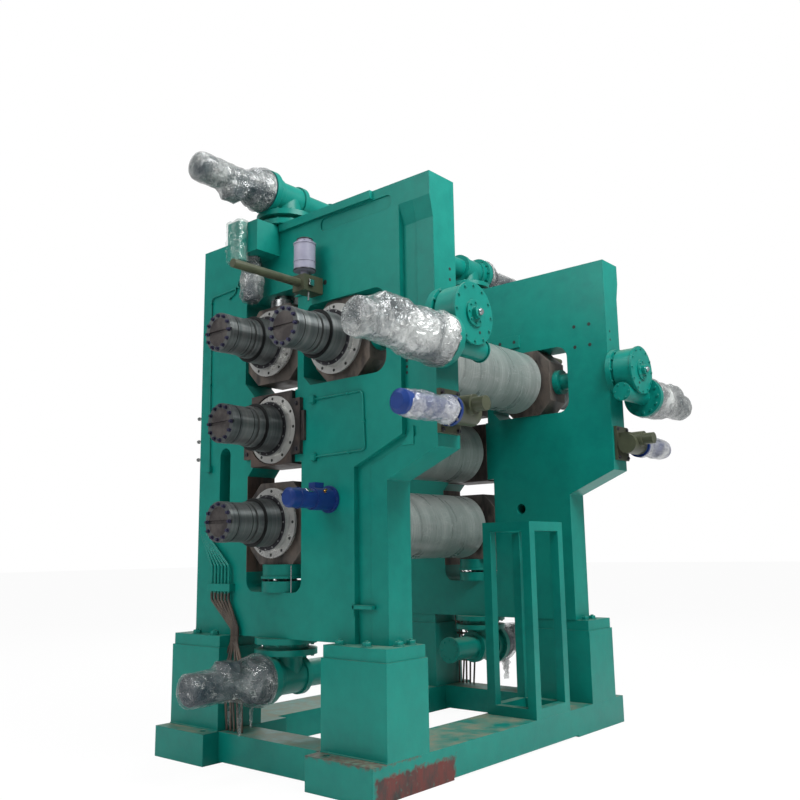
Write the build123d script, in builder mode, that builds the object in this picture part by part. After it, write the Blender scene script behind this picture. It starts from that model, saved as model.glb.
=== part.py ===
from build123d import *
import os

# Four-roll calender with its rolls in an inverted L. Millimetres, origin on the floor at the
# centre of the foundation bolts, X to the front, Y along the rolls, Z up. The near side is -Y.

# Side frames
frame_inner_y = 1170
frame_thickness = 290
frame_back_x = -1080
frame_front_x = 1530
post_front_x = 1062
frame_foot_z = 955
frame_top_z = 4300
nose_low_z = 2305
nose_root_z = 2104
margin_width = 290
margin_step = 45
margin_border_width = 155
margin_border_step = 36
margin_top_z = 3960
margin_fade_height = 160
panel_corner_cut = 110
column_slot_x = -730
column_slot_radius = 68
column_slot_low_z = 1960
column_slot_top_z = 2484
column_slot_depth = 200
top_bar_back_x = -50
top_bar_front_x = 980
top_bar_height = 66
top_bar_depth = 30
top_recess_back_x = 420
top_recess_front_x = 1170
top_recess_height = 110
top_recess_depth = 12
top_recess_round = 50
top_recess_drop = 8
inner_pad_back_x = 250
inner_pad_front_x = 580
inner_pad_low_z = 3600
inner_pad_height = 125
inner_pad_thickness = 12
drive_bore_radius = 50

# Rolls
roll_radius = 305
roll_half_face = 1030
stack_x = -110
top_roll_x = -160
offset_roll_x = 590
bottom_roll_z = 1836
middle_roll_z = 2580
top_roll_z = 3300
offset_roll_z = 3213
face_edge_round = 8
neck_radius = 225
neck_end_y = 1145
journal_radius = 187
journal_step_y = 1680
sleeve_radius = 150
sleeve_collar_radius = 160
sleeve_collar_end_y = 1745
sleeve_groove_radius = 143
sleeve_groove_width = 12
end_cap_radius = 153
end_cap_length = 70
roll_end_y = 2000
end_slot_width = 26
end_slot_depth = 12

# Bearing housings and their covers
housing_half_width = 320
housing_half_height = 322
housing_corner = 130
housing_inner_y = 1160
housing_outer_y = 1430
housing_slip = 0.5
bearing_slip = 0.08
offset_housing_back = 250
middle_half_width = 245
middle_half_height = 290
middle_arm_half_width = 335
middle_arm_half_height = 222
middle_arm_thickness = 34
middle_key_half_height = 118
middle_key_length = 36
cover_radius = 275
cover_gap = 6
cover_thickness = 18
cover_hub_radius = 222
cover_hub_length = 46
cover_spigot_radius = 245
cover_bore_gap = 1.5

# Windows in the side frames
low_seat_room = 20
top_seat_room = 40
offset_seat_room = 134
window_step_room = 25
window_shoulder_height = 80
running_gap = 5
offset_back_room = 11
window_low_round = 90
window_top_round = 40
offset_window_corner = 75
offset_window_round = 115

# Working strokes of the three movable rolls
bottom_stroke = 120
top_stroke = 95
offset_stroke = 98

# Adjusting screws
screw_radius = 80
screw_bore_gap = 6
screw_reach = 270
offset_screw_reach = 215
seat_radius = 120
seat_length = 58
low_seat_radius = 190
low_seat_length = 90
low_seat_flange_radius = 202
low_seat_flange_thickness = 20
nut_flange_radius = 196
nut_flange_thickness = 84

# Pedestals and base
pedestal_length = 620
pedestal_outer_y = 1605
pedestal_inner_y = 1165
pedestal_plate_thickness = 89
pedestal_plate_inset = 12
base_half_length = 1195
base_top_z = 235
beam_lift = 15
block_length = 628
block_outer_y = 1748
block_inner_y = 892
cross_beam_width = 515
side_beam_outer_y = 1600
side_beam_width = 300
anchor_inset_x = 120
anchor_inset_y = 90
anchor_hole_radius = 24

# Gear units that turn the screws
unit_flange_radius = 245
unit_flange_thickness = 45
unit_neck_radius = 180
unit_neck_length = 40
unit_body_radius = 132
unit_worm_height = 300
unit_worm_radius = 135
unit_worm_back = 150
unit_worm_front = 245
unit_ring_radius = 186
unit_ring_thickness = 55
unit_collar_thickness = 45
unit_tube_radius = 105
unit_tube_length = 380
unit_worm_neck_radius = 150
unit_worm_neck_length = 70
unit_tube_cap_radius = 122
unit_tube_cap_length = 22
front_drum_radius = 212
front_drum_length = 162
front_drum_neck_radius = 190
front_drum_neck_length = 26
front_drum_mount_radius = 226
front_drum_mount_length = 50
front_drum_face_radius = 222
front_drum_face_length = 20
front_drum_hub_radius = 96
front_drum_hub_length = 14
front_drum_boss_radius = 46
front_drum_boss_length = 34
front_worm_drop = 215
front_worm_radius = 76
front_worm_forward = 150
front_worm_inner = 215
front_worm_outer = 215
front_worm_cap_length = 10

# Motors
motor_flange_radius = 176
motor_flange_thickness = 36
reducer_radius = 156
reducer_neck_radius = 106
reducer_taper = 60
short_reducer_length = 150
long_reducer_length = 264
motor_radius = 104
motor_length = 370
motor_fan_radius = 110
motor_fan_length = 130
motor_end_round = 28
motor_box_width = 130
motor_box_height = 62

# Roll crossing units on the front edges
crossing_z = 2575
crossing_plate_drop = 25
crossing_worm_drop = 42
crossing_plate_width = 225
crossing_plate_height = 310
crossing_plate_thickness = 30
crossing_body_radius = 88
crossing_body_half = 120
crossing_body_forward = 125
crossing_collar_radius = 72
crossing_collar_length = 118
crossing_shaft_radius = 52
crossing_shaft_end_x = 1865
crossing_ring_radius = 108
crossing_ring_thickness = 24
crossing_motor_radius = 78
crossing_motor_length = 560
crossing_motor_fan_length = 130
crossing_motor_step = 6

# Small drives on the outer faces
face_motor_x = 520
face_motor_z = 1990
face_motor_flange_radius = 102
face_motor_flange_thickness = 20
face_motor_head_radius = 84
face_motor_head_length = 190
face_motor_radius = 72
face_motor_length = 430
face_motor_box_length = 90
face_motor_box_height = 34
box_back_x = -340
box_front_x = -60
box_low_z = 4030
box_high_z = 4290
box_depth = 250
box_end_depth = 75
box_end_low_z = 3960
box_end_width = 150
lifter_x = -265
lifter_radius = 70
lifter_low_z = 3660
rod_x = 380
rod_z = 3660
rod_radius = 33
rod_end_y = 2300
rod_box_size = 130
rod_box_gap_y = 70
rod_motor_radius = 84
rod_motor_low = 40
rod_motor_length = 230
rod_motor_cap_radius = 62
rod_motor_cap_length = 22

# Oil pipes down the back of the outer faces
pipe_count = 6
pipe_radius = 11
pipe_pitch = 44
pipe_stand_off = 34
pipe_top_x = -985
pipe_top_z = 1830
pipe_bend_z = 1500
pipe_bend_x = -830
pipe_turn_z = 1230
pipe_low_x = -560
pipe_low_z = 1010
clamp_z = 1330
clamp_height = 60

# Welded stand on the front beam
stand_depth = 480
stand_near_y = 225
stand_width = 540
stand_height = 1600
stand_tube = 80

frame_outer_y = frame_inner_y + frame_thickness
frame_mid_y = frame_inner_y + frame_thickness / 2
bearing_bore = journal_radius + bearing_slip
window_gap = housing_half_width + housing_slip
offset_window_half = housing_half_height + housing_slip
bottom_seat_z = bottom_roll_z - housing_half_height
top_seat_z = top_roll_z + housing_half_height
offset_seat_x = offset_roll_x + housing_half_width
low_seat_end = low_seat_length + low_seat_flange_thickness
window_low_z = bottom_seat_z - low_seat_end - low_seat_room - nut_flange_thickness
window_step_z = bottom_roll_z + housing_half_height + bottom_stroke + window_step_room
window_low_shoulder_z = window_step_z - window_shoulder_height
window_neck_z = top_roll_z - housing_half_height - top_stroke - running_gap
window_top_z = top_seat_z + seat_length + top_seat_room
offset_window_back_x = offset_roll_x - offset_housing_back - offset_stroke - offset_back_room
offset_window_front_x = offset_seat_x + seat_length + offset_seat_room

rolls = {
    "bottom": (stack_x, bottom_roll_z),
    "middle": (stack_x, middle_roll_z),
    "top": (top_roll_x, top_roll_z),
    "offset": (offset_roll_x, offset_roll_z),
}

os.makedirs("parts", exist_ok=True)


def keep(piece, name):
    """Label a finished piece and write it to its own file."""
    piece.label = name
    export_step(piece, f"parts/{name}.step")


def side_plane(y, x=0, z=0):
    """A plane facing the near side at distance y from the middle, its own axes along X and Z."""
    return Plane(origin=(x, -y, z), x_dir=(1, 0, 0), z_dir=(0, -1, 0))


def front_plane(x, y=0, z=0):
    """A plane facing the front at distance x, its own axes along Y and Z."""
    return Plane(origin=(x, y, z), x_dir=(0, 1, 0), z_dir=(1, 0, 0))


def floor_plane(z, x=0, y=0):
    """A level plane at height z."""
    return Plane(origin=(x, y, z))


def mirrored(piece):
    """The far side's copy of a near side piece."""
    with BuildPart() as copy:
        mirror(piece, about=Plane.XZ)
    return copy.part


def both_sides(piece):
    """A near side piece and its far side copy as one node of two solids."""
    with BuildPart() as pair:
        add(piece)
        mirror(piece, about=Plane.XZ)
    return pair.part


def level(sketch, z):
    """The corners of a sketch that lie at height z."""
    return sketch.vertices().filter_by_position(Axis.Y, z - 0.01, z + 0.01)


def stack_window():
    """The tall opening that carries the three stacked housings."""
    left, right = stack_x - window_gap, stack_x + window_gap
    neck_left, neck_right = stack_x - middle_half_width, stack_x + middle_half_width
    top_left, top_right = top_roll_x - window_gap, top_roll_x + window_gap
    top_shoulder_z = window_neck_z + neck_left - top_left
    with BuildSketch() as window:
        with BuildLine():
            Polyline(
                (left, window_low_z),
                (left, window_low_shoulder_z),
                (neck_left, window_step_z),
                (neck_left, window_neck_z),
                (top_left, top_shoulder_z),
                (top_left, window_top_z),
                (top_right, window_top_z),
                (top_right, window_neck_z),
                (neck_right, window_neck_z),
                (neck_right, window_step_z),
                (right, window_step_z),
                (right, window_low_z),
                close=True,
            )
        make_face()
        fillet(level(window, window_low_z), window_low_round)
        fillet(level(window, window_top_z), window_top_round)
    return window.sketch


def offset_window():
    """The opening that carries the front roll's housing."""
    low = offset_roll_z - offset_window_half
    high = offset_roll_z + offset_window_half
    with BuildSketch() as window:
        with BuildLine():
            Polyline(
                (offset_window_back_x, low),
                (offset_window_front_x, low),
                (offset_window_front_x, high),
                (offset_window_back_x, high),
                close=True,
            )
        make_face()
        corners = window.vertices().group_by(Axis.X)
        chamfer(corners[0], offset_window_corner)
        corners = window.vertices().group_by(Axis.X)
        fillet(corners[-1], offset_window_round)
    return window.sketch


def margin_outline(width):
    """The strip along the front edge of a side frame, from its nose down its post."""
    with BuildSketch() as strip:
        with BuildLine():
            Polyline(
                (frame_front_x, margin_top_z),
                (frame_front_x - width, margin_top_z),
                (frame_front_x - width, nose_low_z + panel_corner_cut),
                (post_front_x - width, nose_root_z + panel_corner_cut),
                (post_front_x - width, frame_foot_z),
                (post_front_x, frame_foot_z),
                (post_front_x, nose_root_z),
                (frame_front_x, nose_low_z),
                close=True,
            )
        make_face()
    return strip.sketch


def margin_fade(front_x, width, step):
    """The wedge that runs a set-back strip out to the face at its top."""
    with BuildPart() as wedge:
        with BuildSketch(front_plane(front_x)):
            with BuildLine():
                Polyline(
                    (-frame_outer_y, margin_top_z),
                    (-frame_outer_y + step, margin_top_z),
                    (-frame_outer_y, margin_top_z + margin_fade_height),
                    close=True,
                )
            make_face()
        extrude(amount=-width)
    return wedge.part


def column_slot():
    """The long round-ended slot in the back column."""
    half_height = (column_slot_top_z - column_slot_low_z) / 2
    with BuildPart() as slot:
        with BuildSketch(side_plane(frame_outer_y, column_slot_x, column_slot_low_z + half_height)):
            SlotOverall(2 * half_height, 2 * column_slot_radius, rotation=90)
        extrude(amount=-column_slot_depth)
    return slot.part


def side_frame():
    """The near side frame: a thick casting with its windows, screw holes and set-back margin."""
    with BuildPart() as frame:
        with BuildSketch(side_plane(frame_inner_y)):
            with BuildLine():
                Polyline(
                    (frame_back_x, frame_foot_z),
                    (frame_back_x, frame_top_z),
                    (frame_front_x, frame_top_z),
                    (frame_front_x, nose_low_z),
                    (post_front_x, nose_root_z),
                    (post_front_x, frame_foot_z),
                    close=True,
                )
            make_face()
            add(stack_window(), mode=Mode.SUBTRACT)
            add(offset_window(), mode=Mode.SUBTRACT)
        extrude(amount=frame_thickness)
        border_x = frame_front_x - margin_border_width
        with BuildSketch(side_plane(frame_outer_y)):
            add(margin_outline(margin_width))
            add(margin_outline(margin_border_width), mode=Mode.SUBTRACT)
        extrude(amount=-margin_step, mode=Mode.SUBTRACT)
        with BuildSketch(side_plane(frame_outer_y)):
            add(margin_outline(margin_border_width))
        extrude(amount=-margin_border_step, mode=Mode.SUBTRACT)
        add(margin_fade(border_x, margin_width - margin_border_width, margin_step), mode=Mode.SUBTRACT)
        add(margin_fade(frame_front_x, margin_border_width, margin_border_step), mode=Mode.SUBTRACT)
        add(column_slot(), mode=Mode.SUBTRACT)
        with BuildSketch(floor_plane(frame_foot_z, y=-frame_mid_y)):
            with Locations((stack_x, 0)):
                Circle(screw_radius + screw_bore_gap)
        extrude(amount=window_low_z - frame_foot_z, mode=Mode.SUBTRACT)
        with BuildSketch(floor_plane(window_top_z, y=-frame_mid_y)):
            with Locations((top_roll_x, 0)):
                Circle(screw_radius + screw_bore_gap)
        extrude(amount=frame_top_z - window_top_z, mode=Mode.SUBTRACT)
        with BuildSketch(front_plane(offset_window_front_x, -frame_mid_y, offset_roll_z)):
            Circle(screw_radius + screw_bore_gap)
        extrude(amount=frame_front_x - offset_window_front_x, mode=Mode.SUBTRACT)
        with BuildSketch(side_plane(frame_inner_y, face_motor_x, face_motor_z)):
            Circle(drive_bore_radius)
        extrude(amount=frame_thickness, mode=Mode.SUBTRACT)
        bar_low_z = frame_top_z - top_bar_height
        with BuildSketch(side_plane(frame_outer_y)):
            with Locations(((top_bar_back_x + top_bar_front_x) / 2, bar_low_z + top_bar_height / 2)):
                Rectangle(top_bar_front_x - top_bar_back_x, top_bar_height)
        extrude(amount=top_bar_depth)
        recess_z = bar_low_z - top_recess_drop - top_recess_height / 2
        with BuildSketch(side_plane(frame_outer_y)):
            with Locations(((top_recess_back_x + top_recess_front_x) / 2, recess_z)):
                RectangleRounded(top_recess_front_x - top_recess_back_x, top_recess_height, top_recess_round)
        extrude(amount=-top_recess_depth, mode=Mode.SUBTRACT)
        pad_z = inner_pad_low_z + inner_pad_height / 2
        with BuildSketch(side_plane(frame_inner_y)):
            with Locations(((inner_pad_back_x + inner_pad_front_x) / 2, pad_z)):
                Rectangle(inner_pad_front_x - inner_pad_back_x, inner_pad_height)
        extrude(amount=-inner_pad_thickness)
    return frame.part


def roll(x, z):
    """A chilled iron roll with its necks, bearing journals, sleeves and slotted end caps."""
    cap_start = roll_end_y - end_cap_length
    groove = sleeve_groove_width
    steps = [
        (roll_radius, roll_half_face),
        (neck_radius, neck_end_y),
        (journal_radius, journal_step_y),
        (sleeve_collar_radius, sleeve_collar_end_y),
        (sleeve_groove_radius, sleeve_collar_end_y + groove),
        (sleeve_radius, cap_start - groove),
        (sleeve_groove_radius, cap_start),
        (end_cap_radius, roll_end_y),
    ]
    outline = []
    reached = 0
    for radius, end in steps:
        outline += [(radius, reached), (radius, end)]
        reached = end
    with BuildPart() as body:
        with BuildSketch(Plane.XY):
            with BuildLine():
                Polyline((0, 0), *outline, (0, roll_end_y), close=True)
            make_face()
        revolve(axis=Axis.Y)
        face_edges = body.edges().filter_by(GeomType.CIRCLE).sort_by(SortBy.RADIUS)
        face_edges = face_edges.filter_by_position(Axis.Y, roll_half_face - 1, roll_half_face + 1)
        fillet(face_edges.sort_by(SortBy.RADIUS)[-1], face_edge_round)
        mirror(about=Plane.XZ)
        for end in (-1, 1):
            with BuildSketch(Plane(origin=(0, end * roll_end_y, 0), x_dir=(1, 0, 0), z_dir=(0, end, 0))):
                Rectangle(2 * end_cap_radius + groove, end_slot_width)
            extrude(amount=-end_slot_depth, mode=Mode.SUBTRACT)
    return body.part.moved(Location((x, 0, z)))


def housing(x, z, back=housing_half_width, front=housing_half_width):
    """A near side bearing housing: a cornered block with its bearing bore."""
    with BuildPart() as block:
        with BuildSketch(side_plane(housing_inner_y, x, z)) as outline:
            with BuildLine():
                Polyline(
                    (-back, -housing_half_height),
                    (front, -housing_half_height),
                    (front, housing_half_height),
                    (-back, housing_half_height),
                    close=True,
                )
            make_face()
            chamfer(outline.vertices(), housing_corner)
            Circle(bearing_bore, mode=Mode.SUBTRACT)
        extrude(amount=housing_outer_y - housing_inner_y)
    return block.part


def middle_housing():
    """The fixed middle housing, with arms that bolt it to the frame's face."""
    x, z = rolls["middle"]
    cover_seat = cover_radius + cover_gap
    with BuildPart() as block:
        with BuildSketch(side_plane(housing_inner_y, x, z)):
            Rectangle(2 * middle_half_width, 2 * middle_half_height)
            Circle(bearing_bore, mode=Mode.SUBTRACT)
        extrude(amount=housing_outer_y - housing_inner_y)
        with BuildSketch(side_plane(housing_outer_y, x, z)):
            Rectangle(2 * middle_half_width, 2 * middle_half_height)
            Circle(cover_seat, mode=Mode.SUBTRACT)
        extrude(amount=frame_outer_y - housing_outer_y)
        with BuildSketch(side_plane(frame_outer_y, x, z)):
            Rectangle(2 * middle_arm_half_width, 2 * middle_arm_half_height)
            Rectangle(2 * middle_half_width, 2 * middle_half_height)
            Circle(cover_seat, mode=Mode.SUBTRACT)
        extrude(amount=middle_arm_thickness)
        with BuildSketch(side_plane(frame_outer_y, x + middle_arm_half_width, z)):
            with Locations((middle_key_length / 2, 0)):
                Rectangle(middle_key_length, 2 * middle_key_half_height)
        extrude(amount=middle_arm_thickness * 2 / 3)
    return block.part


def cover(x, z):
    """A near side bearing cover: spigot, bolted flange and raised hub round the journal."""
    flange_y = frame_outer_y + cover_gap
    hub_y = flange_y + cover_thickness
    with BuildPart() as ring:
        with BuildSketch(side_plane(housing_outer_y, x, z)):
            Circle(cover_spigot_radius)
        extrude(amount=flange_y - housing_outer_y)
        with BuildSketch(side_plane(flange_y, x, z)):
            Circle(cover_radius)
        extrude(amount=cover_thickness)
        with BuildSketch(side_plane(hub_y, x, z)):
            Circle(cover_hub_radius)
        extrude(amount=cover_hub_length)
        with BuildSketch(side_plane(housing_outer_y, x, z)):
            Circle(journal_radius + cover_bore_gap)
        extrude(amount=hub_y + cover_hub_length - housing_outer_y, mode=Mode.SUBTRACT)
    return ring.part


def screw(seat, seat_depth, length):
    """A screw standing on its thrust seat, along its own Z."""
    with BuildPart() as spindle:
        Cylinder(seat, seat_depth, align=(Align.CENTER, Align.CENTER, Align.MIN))
        Cylinder(screw_radius, length, align=(Align.CENTER, Align.CENTER, Align.MIN))
    return spindle.part


def low_screw():
    """The lower screw hangs below its housing behind a wide flanged thrust seat."""
    length = bottom_seat_z - frame_foot_z + screw_reach
    with BuildPart() as spindle:
        add(screw(low_seat_radius, low_seat_end, length))
        with BuildSketch(floor_plane(low_seat_length)):
            Circle(low_seat_flange_radius)
        extrude(amount=low_seat_flange_thickness)
    return spindle.part


def turned(outline):
    """A turned piece along its own Z, from the (radius, height) corners of its side."""
    with BuildPart() as piece:
        with BuildSketch(Plane.XZ):
            with BuildLine():
                Polyline((0, outline[0][1]), *outline, (0, outline[-1][1]), close=True)
            make_face()
        revolve(axis=Axis.Z)
    return piece.part


def steps_up(*sizes):
    """The corners of a stepped side, from (radius, length) pairs that follow on from 0."""
    corners = []
    reached = 0
    for radius, length in sizes:
        corners += [(radius, reached), (radius, reached + length)]
        reached += length
    return corners


def gear_unit():
    """A worm gear unit on its flange. The screw comes up its own Z and the worm lies along Y."""
    upright = steps_up(
        (unit_flange_radius, unit_flange_thickness),
        (unit_neck_radius, unit_neck_length),
        (unit_flange_radius, unit_flange_thickness),
        (unit_body_radius, unit_worm_height - 2 * unit_flange_thickness - unit_neck_length),
    )
    across = steps_up(
        (unit_tube_cap_radius, unit_tube_cap_length),
        (unit_tube_radius, unit_tube_length - unit_tube_cap_length),
        (unit_worm_radius + unit_collar_thickness / 3, unit_collar_thickness),
        (unit_worm_radius, unit_worm_back + unit_worm_front - unit_collar_thickness),
    )
    tube_start = -unit_worm_back - unit_tube_length
    with BuildPart() as unit:
        add(turned(upright))
        worm = Plane(origin=(0, tube_start, unit_worm_height), x_dir=(1, 0, 0), z_dir=(0, 1, 0))
        add(worm.location * turned(across))
        neck_length = unit_worm_neck_length + unit_ring_thickness
        for radius, length in ((unit_worm_neck_radius, neck_length), (unit_ring_radius, unit_ring_thickness)):
            with BuildSketch(worm.offset(unit_worm_front - length - tube_start)):
                Circle(radius)
            extrude(amount=length)
        with BuildSketch():
            Circle(screw_radius + screw_bore_gap)
        extrude(amount=screw_reach + screw_bore_gap, mode=Mode.SUBTRACT)
    return unit.part


def front_gear_unit():
    """The front roll's drum gear unit, with the worm housing slung below the drum."""
    drum = steps_up(
        (front_drum_mount_radius, front_drum_mount_length),
        (front_drum_neck_radius, front_drum_neck_length),
        (front_drum_radius, front_drum_length),
        (front_drum_face_radius, front_drum_face_length),
        (front_drum_hub_radius, front_drum_hub_length),
        (front_drum_boss_radius, front_drum_boss_length),
    )
    worm_length = front_worm_inner + front_worm_outer
    with BuildPart() as unit:
        add(turned(drum))
        worm = Plane(
            origin=(front_worm_drop, front_worm_inner, front_worm_forward),
            x_dir=(1, 0, 0),
            z_dir=(0, -1, 0),
        )
        with BuildSketch(worm):
            Circle(front_worm_radius)
        extrude(amount=worm_length)
        with BuildSketch(worm):
            Circle(front_worm_radius + front_worm_cap_length)
        extrude(amount=front_worm_cap_length)
        with BuildSketch(worm.offset(front_worm_inner / 3)):
            with Locations((-front_worm_drop / 4, 0)):
                Rectangle(front_worm_drop / 2, front_worm_radius * 1.6)
        extrude(amount=front_worm_inner * 2 / 3 + front_worm_outer / 2)
        with BuildSketch(worm.offset(worm_length)):
            Circle(unit_ring_radius)
        extrude(amount=unit_ring_thickness)
        with BuildSketch():
            Circle(screw_radius + screw_bore_gap)
        extrude(amount=offset_screw_reach + screw_bore_gap, mode=Mode.SUBTRACT)
    return unit.part


def gear_motor(reducer_length):
    """A flanged gear motor along its own Z: reducer, barrel, terminal box and fan cowl."""
    reducer_end = motor_flange_thickness + reducer_length
    cowl = reducer_end + motor_length
    outline = [
        *steps_up((motor_flange_radius, motor_flange_thickness)),
        (reducer_radius, motor_flange_thickness),
        (reducer_radius, reducer_end - reducer_taper),
        (reducer_neck_radius, reducer_end),
        (motor_radius, reducer_end),
        (motor_radius, cowl),
        (motor_fan_radius, cowl),
        (motor_fan_radius, cowl + motor_fan_length),
    ]
    with BuildPart() as motor:
        add(turned(outline))
        fillet(motor.edges().group_by(Axis.Z)[-1], motor_end_round)
        box_reach = motor_radius + motor_box_height
        with BuildSketch(floor_plane(reducer_end + motor_length / 5)):
            with Locations((0, box_reach / 2)):
                Rectangle(motor_box_width, box_reach)
        extrude(amount=motor_length / 3)
    return motor.part


def outward(x, y, z, up=(0, 0, 1)):
    """A plane at a near side point that faces away from the machine, its own Y along up."""
    return Plane(origin=(x, -y, z), x_dir=Vector(*up).cross(Vector(0, -1, 0)), z_dir=(0, -1, 0))


for name, (x, z) in rolls.items():
    keep(roll(x, z), f"roll_{name}")
    back = offset_housing_back if name == "offset" else housing_half_width
    block = middle_housing() if name == "middle" else housing(x, z, back)
    keep(block, f"housing_{name}_near")
    keep(mirrored(block), f"housing_{name}_far")
    keep(both_sides(cover(x, z)), f"bearing_covers_{name}")

near_frame = side_frame()
keep(near_frame, "side_frame_near")
keep(mirrored(near_frame), "side_frame_far")

down = Plane(origin=(stack_x, -frame_mid_y, bottom_seat_z), x_dir=(1, 0, 0), z_dir=(0, 0, -1))
up = Plane(origin=(top_roll_x, -frame_mid_y, top_seat_z), x_dir=(1, 0, 0), z_dir=(0, 0, 1))
forward = Plane(origin=(offset_seat_x, -frame_mid_y, offset_roll_z), x_dir=(0, 0, -1), z_dir=(1, 0, 0))
top_screw_length = frame_top_z - top_seat_z + screw_reach
offset_screw_length = frame_front_x - offset_seat_x + offset_screw_reach
keep(both_sides(down.location * low_screw()), "screws_bottom")
keep(both_sides(up.location * screw(seat_radius, seat_length, top_screw_length)), "screws_top")
keep(both_sides(forward.location * screw(seat_radius, seat_length, offset_screw_length)), "screws_offset")

with BuildPart() as nut_flange:
    with BuildSketch(floor_plane(window_low_z, stack_x, -frame_mid_y)):
        Circle(nut_flange_radius)
        Circle(screw_radius + screw_bore_gap, mode=Mode.SUBTRACT)
    extrude(amount=nut_flange_thickness)
keep(both_sides(nut_flange.part), "nut_flanges_bottom")

top_unit = Plane(origin=(top_roll_x, -frame_mid_y, frame_top_z), x_dir=(-1, 0, 0), z_dir=(0, 0, 1))
low_unit = Plane(origin=(stack_x, -frame_mid_y, frame_foot_z), x_dir=(1, 0, 0), z_dir=(0, 0, -1))
front_unit = Plane(
    origin=(frame_front_x, -frame_mid_y, offset_roll_z), x_dir=(0, 0, -1), z_dir=(1, 0, 0)
)
keep(both_sides(top_unit.location * gear_unit()), "gearboxes_top")
keep(both_sides(low_unit.location * gear_unit()), "gearboxes_bottom")
keep(both_sides(front_unit.location * front_gear_unit()), "gearboxes_front")

motor_face_y = frame_mid_y + unit_worm_front
top_motor = outward(top_roll_x, motor_face_y, frame_top_z + unit_worm_height, up=(0, 0, -1))
low_motor = outward(stack_x, motor_face_y, frame_foot_z - unit_worm_height)
front_motor = outward(
    frame_front_x + front_worm_forward,
    frame_mid_y + front_worm_outer + unit_ring_thickness,
    offset_roll_z - front_worm_drop,
)
keep(both_sides(top_motor.location * gear_motor(short_reducer_length)), "motors_top")
keep(both_sides(low_motor.location * gear_motor(short_reducer_length)), "motors_bottom")
keep(both_sides(front_motor.location * gear_motor(long_reducer_length)), "motors_front")

with BuildPart() as crossing:
    with BuildSketch(front_plane(frame_front_x, -frame_mid_y, crossing_z - crossing_plate_drop)):
        Rectangle(crossing_plate_width, crossing_plate_height)
    extrude(amount=crossing_plate_thickness)
    body_x = frame_front_x + crossing_body_forward
    worm_z = crossing_z - crossing_worm_drop
    with BuildSketch(side_plane(frame_mid_y - crossing_body_half, body_x, worm_z)):
        Circle(crossing_body_radius)
    extrude(amount=2 * crossing_body_half)
    with BuildSketch(front_plane(frame_front_x, -frame_mid_y, crossing_z)):
        Rectangle(1.6 * crossing_body_radius, 1.6 * crossing_body_radius)
    extrude(amount=crossing_body_forward)
    stub = steps_up(
        (crossing_collar_radius, crossing_collar_length),
        (crossing_shaft_radius, crossing_shaft_end_x - body_x - crossing_collar_length),
    )
    add(front_plane(body_x, -frame_mid_y, crossing_z).location * turned(stub))
keep(both_sides(crossing.part), "crossing_gearboxes")

crossing_motor_y = frame_mid_y + crossing_body_half
crossing_cowl = crossing_motor_length - crossing_motor_fan_length
crossing_outline = [
    *steps_up((crossing_ring_radius, crossing_ring_thickness)),
    (crossing_motor_radius, crossing_ring_thickness),
    (crossing_motor_radius, crossing_cowl),
    (crossing_motor_radius + crossing_motor_step, crossing_cowl),
    (crossing_motor_radius + crossing_motor_step, crossing_motor_length - crossing_motor_radius / 3),
    (crossing_motor_radius * 2 / 3, crossing_motor_length),
]
crossing_motor = side_plane(crossing_motor_y, body_x, worm_z).location * turned(crossing_outline)
keep(both_sides(crossing_motor), "crossing_motors")

face_outline = [
    *steps_up(
        (face_motor_flange_radius, face_motor_flange_thickness),
        (face_motor_head_radius, face_motor_head_length - face_motor_flange_thickness),
    ),
    (face_motor_radius, face_motor_head_length),
    (face_motor_radius, face_motor_length - face_motor_radius / 4),
    (face_motor_radius * 3 / 4, face_motor_length),
]
with BuildPart() as face_motor:
    add(side_plane(frame_outer_y, face_motor_x, face_motor_z).location * turned(face_outline))
    box_top = face_motor_head_radius + face_motor_box_height
    box_plane = side_plane(frame_outer_y + face_motor_head_length / 2, face_motor_x, face_motor_z)
    with BuildSketch(box_plane):
        with Locations((0, box_top / 2)):
            Rectangle(face_motor_box_length * 3 / 4, box_top)
    extrude(amount=face_motor_box_length)
keep(both_sides(face_motor.part), "face_gear_motors")

with BuildPart() as indicator_box:
    with BuildSketch(side_plane(frame_outer_y)):
        with Locations(((box_back_x + box_front_x) / 2, (box_low_z + box_high_z) / 2)):
            Rectangle(box_front_x - box_back_x, box_high_z - box_low_z)
    extrude(amount=box_depth)
    with BuildSketch(side_plane(frame_outer_y + box_depth)):
        with Locations((box_back_x + box_end_width / 2, (box_end_low_z + box_high_z) / 2)):
            Rectangle(box_end_width, box_high_z - box_end_low_z)
    extrude(amount=box_end_depth)
keep(both_sides(indicator_box.part), "indicator_boxes")

with BuildPart() as lifter:
    with BuildSketch(floor_plane(lifter_low_z, lifter_x, -frame_outer_y - box_depth / 2)):
        Circle(lifter_radius)
    extrude(amount=box_low_z - lifter_low_z)
    fillet(lifter.edges().group_by(Axis.Z)[0], lifter_radius / 4)
keep(both_sides(lifter.part), "indicator_motors")

rod_y = frame_outer_y + rod_box_gap_y
with BuildPart() as shaft_drive:
    with BuildSketch(side_plane(frame_outer_y, rod_x, rod_z)):
        Rectangle(rod_box_size, rod_box_size)
    extrude(amount=rod_box_gap_y + rod_box_size)
    with BuildSketch(side_plane(rod_y, rod_x, rod_z)):
        Circle(rod_radius)
    extrude(amount=rod_end_y - rod_y)
keep(both_sides(shaft_drive.part), "shaft_drives")

shaft_motor = floor_plane(rod_z + rod_box_size / 2, rod_x, -rod_y - rod_box_size / 2).location * turned(
    steps_up(
        (rod_radius, rod_motor_low),
        (rod_motor_radius, rod_motor_length),
        (rod_motor_cap_radius, rod_motor_cap_length),
    )
)
keep(both_sides(shaft_motor), "shaft_drive_motors")


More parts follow.
